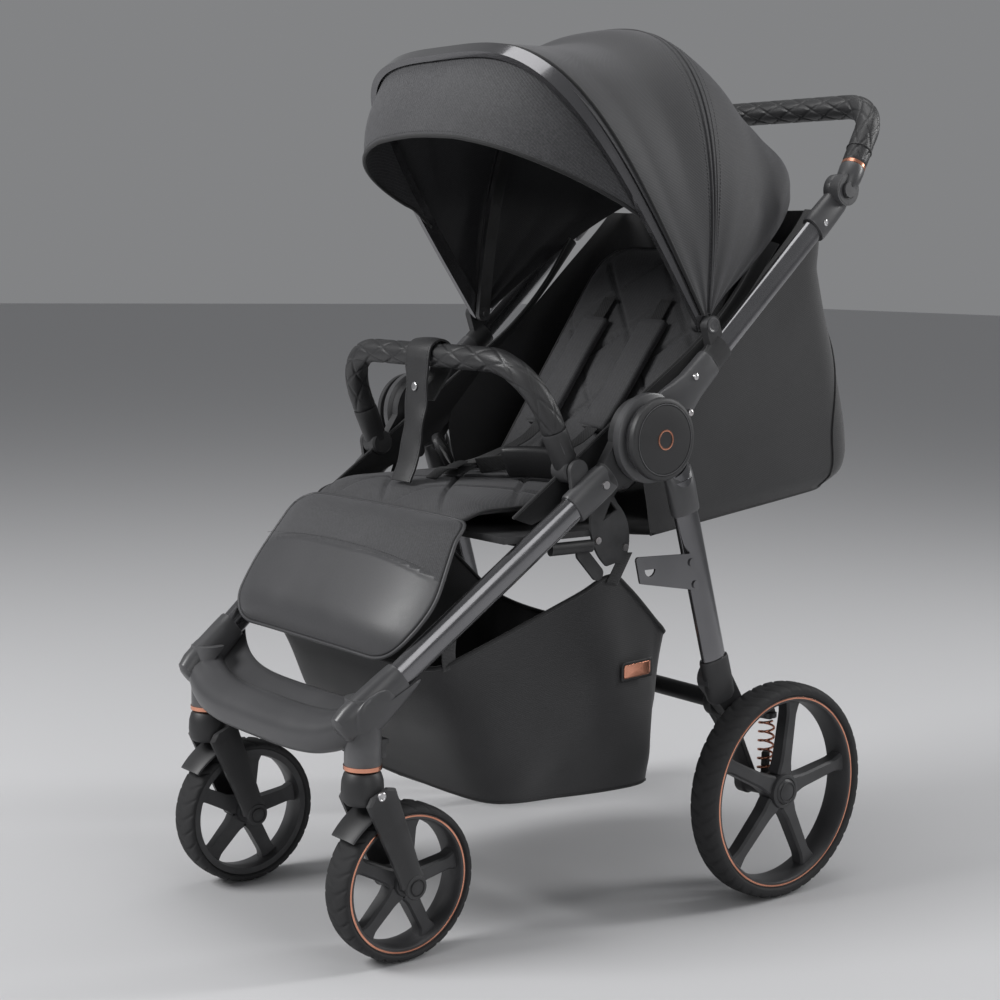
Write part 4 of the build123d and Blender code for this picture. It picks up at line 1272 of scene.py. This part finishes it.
lower_front, lower_rear = spot(185, -50, 318), spot(231, 262, 566)
lower_ahead = (lower_rear - lower_front).normalized()
lower_over = Vector((0, -lower_ahead.z, lower_ahead.y)).normalized()
upper_sleeves = []
for side, out in (("left", 1), ("right", -1)):
    at_tube = pivot + Vector((0.245 * out, 0, 0))
    sleeve = oval_sleeve("joint_sleeve_" + side, at_tube, tube_ahead, tube_over,
                         [(20, 6.0, 30.0), (34, 7.2, 33.0), (52, 9.4, 31.0), (70, 11.6, 26.5),
                         (90, 12.6, 22.0), (112, 12.6, 20.6), (133, 12.3, 20.0), (136, 11.8, 19.4),
                         (136, 10.2, 16.2)], satin_plastic)
    hub = turned("joint_hub_" + side,
        [(-6.4 * out, 8.2), (-6.4 * out, 54.0), (-4.6 * out, 56.2), (4.6 * out, 56.2), (6.4 * out, 54.0),
        (6.4 * out, 8.2)], pivot + Vector((0.2448 * out, 0, 0)), 128)
    coat(hub, satin_plastic)
    upper_sleeves += [sleeve, hub]
    cover = turned("joint_cover_" + side,
                   [(0.0, 0.0), (0.0, 51.0), (1.0 * out, 52.0), (6.0 * out, 52.0), (8.6 * out, 50.8),
                   (10.0 * out, 48.0), (10.2 * out, 45.5), (9.0 * out, 44.6), (8.9 * out, 43.4),
                   (10.3 * out, 42.4),
                    (10.9 * out, 34.0), (11.2 * out, 20.0), (11.3 * out, 0.0)],
                    pivot + Vector((0.2640 * out, 0, 0)), 160)
    coat(cover, black_plastic)
    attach(cover, "front_frame")
    ring = coat(turned("joint_ring_" + side,
        [(8.6 * out, 44.9), (10.6 * out, 44.7), (10.8 * out, 44.0), (10.6 * out, 43.3), (8.6 * out, 43.1)],
        pivot + Vector((0.2640 * out, 0, 0)), 160), satin_plastic)
    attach(ring, "front_frame")
    badge = coat(turned("joint_badge_" + side,
        [(10.4 * out, 13.0), (11.9 * out, 12.6), (12.1 * out, 11.6), (11.9 * out, 10.6),
        (10.4 * out, 10.2)], pivot + Vector((0.2640 * out, 0, 0)), 96), rose_metal)
    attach(badge, "front_frame")
    if out > 0:
        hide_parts("joint_covers")
    lower_sleeve = oval_sleeve("lower_sleeve_" + side,
        Vector((lower_rear.x * out, lower_rear.y, lower_rear.z)),
        Vector((lower_ahead.x * out, lower_ahead.y, lower_ahead.z)), lower_over,
                               [(-53, 11.4, 18.4), (-53, 12.8, 20.4), (-50, 13.6, 21.4), (-20, 13.8, 21.8),
                               (0, 13.4, 21.6), (12, 12.0, 20.0)], satin_plastic)
    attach(lower_sleeve, "front_frame")
joint_shell = join("joint_sleeve_shells", *upper_sleeves)
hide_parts("joint_sleeves")
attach(joint_shell, "upper_frame")
for side, out in (("left", 1), ("right", -1)):
    for index, (distance, over) in enumerate(((100, 10), (64, -18))):
        at = pivot + Vector(((0.2455 + 0.0118) * out, 0,
            0)) + tube_ahead * (distance / 1000) + tube_over * (over / 1000)
        rivet = coat(turned("joint_rivet_" + str(index + 1) + "_" + side,
            [(-2.0 * out, 4.4), (0.6 * out, 4.2), (1.5 * out, 3.0), (1.9 * out, 0.0)], at, 32), bright_steel)
        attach(rivet, "upper_frame")

# ======================================================================================
# Front end. One moulded foot plate joins the lower tubes: a raised rounded band runs
# across the front, over a panel that slopes up to the back. Casters turn on its stems.
# ======================================================================================
foot_rows = []
for i in range(97):
    share = -1 + 2 * i / 96
    x = 0.203 * share
    bow = 1 - abs(share) ** 3.2
    front_y, front_z = -0.069 - 0.012 * bow, 0.287 - 0.014 * bow
    centre = spot(x * 1000, 0, 0)
    centre.y = front_axle.y + front_y
    ring = []
    side_lift = 0.030 * abs(share) ** 5
    for a, b in ((-0.013, -0.026), (-0.020, -0.018), (-0.022, -0.004), (-0.019, 0.008), (-0.010, 0.016),
            (0.004, 0.022), (0.018, 0.025), (0.026, 0.021), (0.029, 0.012), (0.030, 0.004),
                 (0.062, 0.030), (0.067, 0.030), (0.067, 0.026), (0.030, -0.008), (0.010, -0.024),
                 (0.0, -0.028)):
        ring.append(Vector((centre.x, centre.y + a + side_lift * 0.6, front_z + b + side_lift)))
    foot_rows.append(ring)
foot_shell = coat(loft_piece("foot_plate_shell", foot_rows, closed=True, capped=True), satin_plastic)
smoothing = foot_shell.modifiers.new("smooth", "SUBSURF")
smoothing.levels = smoothing.render_levels = 1
apply_all(foot_shell)
foot_parts = [foot_shell]
for out in (1, -1):
    start = Vector((lower_front.x * out, lower_front.y, lower_front.z))
    ahead = Vector((lower_ahead.x * out, lower_ahead.y, lower_ahead.z))
    foot_parts.append(oval_sleeve("foot_sleeve", start, ahead, lower_over,
                                  [(-48, 8.0, 12.0), (-44, 13.0, 19.0), (-30, 15.2, 22.4),
                                  (-10, 15.0, 22.6), (30, 14.2, 21.4), (46, 13.6, 20.6), (49, 12.8, 19.8),
                                  (49, 11.2, 18.2)], satin_plastic))
foot_piece = join("foot_plate_moulding", *foot_parts)
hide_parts("foot_plate")
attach(foot_piece, "front_frame")
recoat(rose_metal, "caster_rings")
recoat(satin_plastic, "caster_stems")
recoat(black_plastic, "swivel_lock_left", "swivel_lock_right")

for side, out in (("left", 1), ("right", -1)):
    axle = node_middle("front_tyre_" + side)
    stem = spot(180 * out, -55, 0)
    crown = turned("fork_crown",
        [(200, 0.0), (200, 20.0), (205, 24.5), (216, 25.5), (228, 24.8), (236, 22.5), (239, 20.5),
        (239, 0.0)], stem, 72, (0, 0, 1))
    parts = [coat(crown, black_plastic)]
    for face in (1, -1):
        rows = []
        for i in range(21):
            t = i / 20
            y = stem.y + 0.004 + (axle.y - stem.y - 0.004) * t
            z = 0.218 + (axle.z - 0.218) * t
            ahead = Vector((0, axle.y - stem.y, axle.z - 0.215)).normalized()
            over = Vector((0, -ahead.z, ahead.y))
            half = 0.0215 - 0.007 * t + 0.003 * exp(-(((1 - t) / 0.08) ** 2))
            if i in (0, 20):
                half *= 0.55
            inner, outer = 0.0262, 0.0338 + 0.0012 * sin(pi * t)
            ring = []
            for a, b in ((inner, -half), (outer - 0.003, -half), (outer, -half + 0.004),
                    (outer + 0.0006, 0), (outer, half - 0.004), (outer - 0.003, half), (inner, half)):
                ring.append(Vector((axle.x + a * face, y, z)) + over * b)
            rows.append(ring)
        arm = loft_piece("fork_arm", rows, closed=True, capped=True)
        parts.append(crease_by_angle(coat(arm, black_plastic), 35))
        boss = turned("fork_boss",
            [(26.4 * face, 4.0), (26.4 * face, 14.5), (33.0 * face, 15.5), (35.4 * face, 14.0),
            (35.8 * face, 10.5), (35.0 * face, 10.0), (35.0 * face, 9.0), (36.6 * face, 8.2),
            (37.4 * face, 0.0)], axle, 56)
        parts.append(coat(boss, black_plastic))
    guard_rows = []
    for i in range(25):
        turn = radians(108 + 34 * i / 24)
        spread = 0.026 - 0.004 * (i / 24)
        ring = []
        for a, r in ((-spread, 103.5), (-spread, 106.0), (-spread + 0.004, 108.4), (0, 109.2),
                (spread - 0.004, 108.4), (spread, 106.0), (spread, 103.5), (0, 104.5)):
            ring.append(Vector((axle.x + a, axle.y + r / 1000 * cos(turn), axle.z + r / 1000 * sin(turn))))
        guard_rows.append(ring)
    parts.append(crease_by_angle(coat(loft_piece("fork_guard", guard_rows, closed=True, capped=True),
        black_plastic), 40))
    parts.append(coat(turned("axle", [(-27 * out, 0.0), (-27 * out, 5.0), (15 * out, 5.0), (15 * out, 0.0)],
        axle, 24), bright_steel))
    fork = join("caster_fork_moulding_" + side, *parts)
    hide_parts("caster_fork_" + side)
    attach(fork, "caster_" + side)
    screw = turned("fork_screw_" + side,
        [(33.5 * out, 5.6), (35.5 * out, 5.4), (36.2 * out, 4.2), (35.2 * out, 3.0), (35.2 * out, 0.0)],
        spot(180 * out, -51, 215), 32)
    coat(screw, bright_steel)
    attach(screw, "caster_" + side)

# ======================================================================================
# Rear axle. A cross tube with moulded boots under the rear legs, a sprung swing arm to
# each wheel, bright coil springs and one brake pedal.
# ======================================================================================
recoat(rose_metal, "coil_spring_left", "coil_spring_right")
recoat(black_coat, "rear_crossbar")
recoat(black_plastic, "brake_pedal")
for side, out in (("left", 1), ("right", -1)):
    axle = node_middle("rear_tyre_" + side)
    start = spot(229 * out, 478, 262)
    rows = []
    for i in range(25):
        t = i / 24
        centre = Vector((start.x, start.y + (axle.y - start.y) * t,
            start.z + (axle.z - start.z) * t + 0.006 * sin(pi * t)))
        ahead = Vector((0, axle.y - start.y, axle.z - start.z)).normalized()
        over = Vector((0, -ahead.z, ahead.y))
        half = 0.019 - 0.003 * t - 0.004 * sin(pi * t)
        ring = []
        for a, b in ((-6.9, -0.86), (-5.2, -1.0), (5.2, -1.0), (6.9, -0.86), (6.9, -0.5), (5.0, -0.42),
                (5.0, 0.42), (6.9, 0.5), (6.9, 0.86), (5.2, 1.0), (-5.2, 1.0), (-6.9, 0.86)):
            ring.append(centre + Vector((a / 1000, 0, 0)) + over * (half * b))
        rows.append(ring)
    arm = crease_by_angle(coat(loft_piece("arm_web", rows, closed=True, capped=True), black_plastic), 35)
    eye = coat(turned("arm_eye",
        [(-7.0, 12.2), (-7.0, 19.6), (-6.0, 20.4), (6.0, 20.4), (7.0, 19.6), (7.0, 12.2)], start, 64),
        black_plastic)
    hub = coat(turned("arm_hub",
        [(-7.0 * out, 0.0), (-7.0 * out, 15.5), (-6.0 * out, 16.8), (6.0 * out, 16.8), (8.0 * out, 14.0),
        (40.0 * out, 12.0), (41.5 * out, 5.0), (56.0 * out, 5.0), (56.0 * out, 0.0)],
                      Vector((start.x, axle.y, axle.z)), 64), black_plastic)
    seat = coat(turned("spring_seat",
        [(-5.5, 0.0), (-5.5, 11.0), (-4.0, 13.4), (-1.4, 13.4), (-1.0, 11.8), (-1.0, 0.0)],
        spot(246 * out, 557, 152), 48, (0, 0, 1)), black_plastic)
    guide = coat(turned("spring_guide", [(-1.0, 0.0), (-1.0, 6.0), (30.0, 5.6), (32.0, 4.0), (32.0, 0.0)],
        spot(246 * out, 557, 152), 32, (0, 0, 1)), black_plastic)
    swing = join("swing_arm_moulding_" + side, arm, eye, hub, seat, guide)
    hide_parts("swing_arm_" + side)
    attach(swing, "rear_arm_" + side)
    bolt = coat(turned("axle_bolt_" + side,
        [(7.0 * -out, 9.5), (9.0 * -out, 9.2), (9.6 * -out, 8.0), (9.6 * -out, 4.6), (8.0 * -out, 4.2),
        (8.0 * -out, 0.0)], Vector((start.x, axle.y, axle.z)), 36), bright_steel)
    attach(bolt, "rear_arm_" + side)
    boot = oval_sleeve("leg_boot_" + side, spot(255.5 * out, 455, 284), Vector((0, 94, -313)).normalized(),
        Vector((0, 313, 94)).normalized(),
                       [(-46, 11.2, 19.2), (-46, 12.8, 20.8), (-43, 13.6, 21.6), (-10, 14.0, 22.0),
                       (8, 13.2, 21.0), (14, 10.0, 17.0)], black_plastic)
    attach(boot, "rear_frame")
    leg_sleeve = oval_sleeve("leg_sleeve_" + side, spot(255.5 * out, 361, 597),
        Vector((0, 94, -313)).normalized(), Vector((0, 313, 94)).normalized(),
                             [(20, 6.0, 22.0), (30, 10.0, 23.0), (44, 12.2, 22.6), (74, 12.6, 21.6),
                             (78, 12.2, 21.0), (78, 11.2, 19.2)], satin_plastic)
    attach(leg_sleeve, "rear_frame")

# ======================================================================================
# Seat sling. Side wings run along the tubes with a piped top edge; behind them a deep
# bag of plain cloth hangs from the upper tubes round the backrest, with one seam each side,
# piped in binding tape darker than the bag so that it also paints a shadow line.
# ======================================================================================
bag_cloth = finish("bag cloth", woven_cloth,
                   {"Colour": (0.016, 0.016, 0.017), "Thread": (0.046, 0.046, 0.049), "Pitch": 1.3,
                   "Roughness": 0.74, "Mottle": 0.55},
                   bump=0.0002, strength=0.5, Sheen_Weight=0.2, Sheen_Roughness=0.5)
lining = finish("dark lining", woven_cloth,
                {"Colour": (0.006, 0.006, 0.007), "Thread": (0.016, 0.016, 0.017), "Pitch": 1.2,
                "Roughness": 0.8, "Mottle": 0.5},
                bump=0.0002, strength=0.4, Sheen_Weight=0.1, Sheen_Roughness=0.5)

# Each level of the bag is a line from the left tube, round the back, to the right tube.
bag_front = [(500, 392), (530, 372), (600, 352), (640, 372), (700, 432), (757, 494), (820, 560), (880, 622),
    (912, 650)]
bag_back = [(500, 752), (530, 778), (600, 780), (700, 757), (800, 722), (871, 698), (912, 684)]
bag_half = [(500, 184), (530, 198), (600, 203), (700, 203), (800, 202), (880, 200), (912, 197)]


def bag_level(height, columns=121, proud=0.0):
    front, back, half = curved_value(bag_front, height), curved_value(bag_back,
        height), curved_value(bag_half, height)
    corner = min(62.0, max(8.0, (back - front) * 0.45))
    line = [Vector((half + proud, front, 0)), Vector((half + proud, back - corner, 0))]
    for k in range(1, 12):
        turn = pi / 2 * k / 12
        line.append(Vector((half - corner + (corner + proud) * cos(turn),
            back - corner + (corner + proud) * sin(turn), 0)))
    line.append(Vector((half - corner, back + proud, 0)))
    line.append(Vector((0, back + 6 + proud, 0)))
    line += [Vector((-p.x, p.y, 0)) for p in line[-2::-1]]
    level = []
    lengths = [0.0]
    for a, b in zip(line, line[1:]):
        lengths.append(lengths[-1] + (b - a).length)
    k = 0
    for i in range(columns):
        want = lengths[-1] * i / (columns - 1)
        while k < len(line) - 2 and lengths[k + 1] < want:
            k += 1
        share = (want - lengths[k]) / max(1e-9, lengths[k + 1] - lengths[k])
        p = line[k].lerp(line[k + 1], min(1.0, share))
        inward = Vector((-p.x, 0 if abs(p.x) > half - 3 else -1, 0)).normalized()
        u = i / (columns - 1)
        sag = 5.0 * sin(pi * min(1.0, max(0.0, (height - 530) / 400))) * sin(pi * min(1,
            abs(u - 0.5) * 2)) ** 2
        fold = noise.noise(Vector((u * 9.0, height / 130.0, 2.3))) * 3.2
        p = p + inward * (sag + fold)
        drop = max(0.0, 1 - (height - 500) / 90) * ((p.y - 392) / 360 * 48 - 18)
        level.append(spot(p.x, p.y, height + drop))
    return level


levels = [502 + 408 * (i / 56) for i in range(57)]
bag_rows = [bag_level(h) for h in levels]
bag_skin = coat(loft_piece("seat_bag", bag_rows), bag_cloth)
bottom = bag_rows[0]
floor_rows = []
for j in range(13):
    t = j / 12
    row = []
    for i in range(61):
        a, b = bottom[i], bottom[120 - i]
        p = a.lerp(b, t)
        p.z -= 0.012 * sin(pi * t)
        row.append(p)
    floor_rows.append(row)
bag_floor = coat(loft_piece("seat_bag_floor", floor_rows), bag_cloth)
seat_bag = join("seat_bag_cloth", bag_skin, bag_floor)
area = skin_area(seat_bag)
thicken(seat_bag, 0.0012)
seat_bag.data.polygons.foreach_set("use_smooth", [True] * len(seat_bag.data.polygons))
crease_by_angle(seat_bag, 60)
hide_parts("seat_shell")
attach(seat_bag, "upper_frame")
# Each seam is a real welt; its binding tape, darker than the bag cloth, is also painted shadow along the
# bag's rear corners.
for side, k in (("left", 1), ("right", -1)):
    seam = []
    for i in range(40):
        h = 506 + 398 * i / 39
        row = bag_level(h, 241, 1.0)
        seam.append(row[72 if k > 0 else 240 - 72])
    welt = piping("seat_bag_seam_shadow_" + side, seam, 0.0016, binding_tape)
    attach(welt, "upper_frame")
hem = piping("seat_bag_hem", bag_rows[0], 0.002, binding_tape)
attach(hem, "upper_frame")

# Wings: one sheet each side from the leg rest's top to the head of the backrest, its top edge piped.
wing_top = [(150, 524), (250, 594), (350, 664), (455, 737), (520, 800), (570, 870)]
wing_foot = [(172, 515), (262, 548), (340, 590), (430, 690), (520, 780), (590, 862)]
for side, out in (("left", 1), ("right", -1)):
    top_line = smooth_line([spot(198 * out, y, z) for y, z in wing_top], 80)
    foot_line = smooth_line([spot(207 * out, y, z) for y, z in wing_foot], 80)
    rows = []
    for j in range(13):
        t = j / 12
        rows.append([a.lerp(b, t) + Vector((-out * 0.004 * sin(pi * t), 0, 0)) for a,
            b in zip(top_line, foot_line)])
    wing, area = skin("seat_wing_" + side, rows, lining, 0.0015)
    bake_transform(wing)
    edge = piping("seat_wing_piping_" + side, top_line, 0.0021, bag_cloth)
    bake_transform(edge)

# ======================================================================================
# Basket. A lofted bag of plain cloth under the seat: a bound rim that rises to a peak at
# the rear legs, sides that sag between their straps, and a blank stitched name plate.
# ======================================================================================
basket_rim = [spot(0, 40, 343), spot(120, 42, 343), spot(178, 52, 347), spot(192, 90, 362),
    spot(194, 180, 392), spot(195, 260, 419), spot(194, 314, 438), spot(190, 350, 418), spot(186, 400, 372),
    spot(178, 424, 350), spot(120, 432, 338), spot(0, 434, 334)]
basket_foot = [spot(0, 128, 166), spot(110, 130, 166), spot(164, 142, 165), spot(182, 175, 163),
    spot(186, 240, 160), spot(188, 310, 156), spot(186, 352, 154), spot(182, 380, 153), spot(176, 398, 153),
    spot(164, 408, 153), spot(110, 412, 153), spot(0, 413, 153)]
columns = 161
rim_half, foot_half = smooth_line(basket_rim, 81), smooth_line(basket_foot, 81)


def both_halves(half):
    return half[::-1] + [Vector((-p.x, p.y, p.z)) for p in half[1:]]


rim_line, foot_line = both_halves(rim_half), both_halves(foot_half)
basket_rows = []
for j in range(31):
    t = j / 30
    row = []
    for i, (a, b) in enumerate(zip(rim_line, foot_line)):
        p = a.lerp(b, t)
        middle = Vector((0, front_axle.y + 0.24, p.z))
        away = (p - middle).normalized()
        bulge = 0.006 * sin(pi * t) - 0.004 * sin(pi * min(1.0, t * 2.2))
        fold = noise.noise(Vector((p.x * 14, p.y * 12, t * 2.2))) * 0.0034 * sin(pi * min(1.0,
            t * 1.15 + 0.05))
        crease = 0.0022 * sin(t * 5 + p.y * 60) * exp(-((t - 0.86) / 0.10) ** 2)
        q = p + away * (bulge + fold + crease)
        q.x = max(-0.1995, min(0.1995, q.x))
        row.append(q)
    basket_rows.append(row)
walls = coat(loft_piece("basket_walls", basket_rows), bag_cloth)
foot_row = basket_rows[-1]
bottom_rows = []
for j in range(17):
    t = j / 16
    bottom_rows.append([foot_row[i].lerp(foot_row[columns - 1 - i],
        t) + Vector((0, 0, -0.003 * sin(pi * t))) for i in range(81)])
bottom = coat(loft_piece("basket_bottom", bottom_rows), bag_cloth)
basket = join("basket_cloth", walls, bottom)
shape = bmesh.new()
shape.from_mesh(basket.data)
bmesh.ops.remove_doubles(shape, verts=shape.verts, dist=0.0004)
bmesh.ops.recalc_face_normals(shape, faces=shape.faces)
shape.to_mesh(basket.data)
shape.free()
area = skin_area(basket)
thicken(basket, 0.0014)
basket.data.polygons.foreach_set("use_smooth", [True] * len(basket.data.polygons))
crease_by_angle(basket, 60)
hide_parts("basket")
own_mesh(basket)
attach(basket, "front_frame")
basket_hem = piping("basket_binding", basket_rows[0], 0.003, binding_tape)
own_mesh(basket_hem)
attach(basket_hem, "front_frame")
foot_welt = piping("basket_foot_welt", basket_rows[-1], 0.0022, binding_tape)
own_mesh(foot_welt)
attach(foot_welt, "front_frame")

# The blank plate on the near wall, with a bright face and a stitched frame.
plate_at = spot(199.6, 360, 312)
plate_outline = rounded_outline([(-0.023, -0.009, 0.002), (0.023, -0.009, 0.002), (0.023, 0.009, 0.002),
    (-0.023, 0.009, 0.002)], 60)
name_plate = puffed("basket_plate", plate_outline, lambda a, b, z: plate_at + Vector((z, a, b + a * 0.05)),
    0.0012, 0.0004, 6)
coat(name_plate, rose_metal)
plate_frame = puffed("basket_plate_patch",
    rounded_outline([(-0.027, -0.0127, 0.002), (0.027, -0.0127, 0.002), (0.027, 0.0127, 0.002),
    (-0.027, 0.0127, 0.002)], 60),
                     lambda a, b, z: plate_at + Vector((z - 0.0008, a, b + a * 0.05)), 0.0010, 0.0008, 6)
coat(plate_frame, black_leather)
for piece in (name_plate, plate_frame):
    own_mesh(piece)
    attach(piece, "front_frame")

# Straps that hang the basket from the frame: at each rear peak and at each front corner.
for side, out in (("left", 1), ("right", -1)):
    peak = flat_strap("basket_peak_strap_" + side,
        smooth_line([spot(195 * out, 316, 428), spot(203 * out, 320, 448), spot(214 * out, 322, 470)], 16),
        0.022, 0.0016, Vector((0, 1, 0)), webbing)
    front = flat_strap("basket_front_strap_" + side,
        smooth_line([spot(186 * out, 66, 346), spot(191 * out, 60, 366), spot(196 * out, 58, 388)], 16),
        0.020, 0.0016, Vector((0, 1, 0)), webbing)
    for strap in (peak, front):
        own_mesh(strap)
        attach(strap, "front_frame")

# ======================================================================================
# Floor, lights and camera: a plain pale floor, a large soft light from the
# front left, a weaker one from the right, one overhead and a narrow strip behind for the
# tubes' highlights.
# ======================================================================================
floor_points = [(-30, -30, 0), (30, -30, 0), (30, 30, 0), (-30, 30, 0)]
floor = mesh_piece("floor", floor_points, [(0, 1, 2, 3)])
floor_material = bpy.data.materials.new("pale floor")
floor_material.use_nodes = True
floor_shader = floor_material.node_tree.nodes["Principled BSDF"]
floor_shader.inputs["Base Color"].default_value = (0.60, 0.60, 0.61, 1)
floor_shader.inputs["Roughness"].default_value = 0.75
floor_shader.inputs["Specular IOR Level"].default_value = 0.2
coat(floor, floor_material)

world = bpy.data.worlds.new("studio")
bpy.context.scene.world = world
world.use_nodes = True
world.node_tree.nodes["Background"].inputs["Color"].default_value = (0.80, 0.81, 0.83, 1)
world.node_tree.nodes["Background"].inputs["Strength"].default_value = 0.28


def soft_light(name, place, target, size, power, tall=None):
    data = bpy.data.lights.new(name, "AREA")
    data.energy = power
    data.shape = "RECTANGLE"
    data.size = size
    data.size_y = tall or size
    light = bpy.data.objects.new(name, data)
    bpy.context.scene.collection.objects.link(light)
    light.location = place
    light.rotation_mode = "QUATERNION"
    light.rotation_quaternion = (Vector(target) - Vector(place)).to_track_quat("-Z", "Y")
    return light


soft_light("key", (-1.1, -3.2, 2.9), (0, 0, 0.6), 1.6, 120)
soft_light("fill", (3.6, -0.6, 1.6), (0, 0, 0.5), 1.4, 20, 2.4)
soft_light("top", (0.1, 0.3, 3.6), (0, 0, 0.5), 2.2, 34)
soft_light("back strip", (1.6, 3.0, 2.2), (0, 0, 0.6), 0.5, 50, 2.2)

camera_data = bpy.data.cameras.new("camera")
camera_data.lens = 66.9
camera_data.sensor_width = 36.0
camera_data.clip_end = 100
camera = bpy.data.objects.new("camera", camera_data)
bpy.context.scene.collection.objects.link(camera)
camera_right = Vector((0.6228, 0.7822, 0.0175))
camera_up = Vector((-0.1086, 0.0643, 0.9920))
camera_back = camera_right.cross(camera_up)
turned_to = Matrix((camera_right, camera_up, camera_back)).transposed()
camera.matrix_world = Matrix.Translation((1.928, -1.585, 0.827)) @ turned_to.to_4x4()
bpy.context.scene.camera = camera
bpy.context.scene.view_settings.view_transform = "Standard"
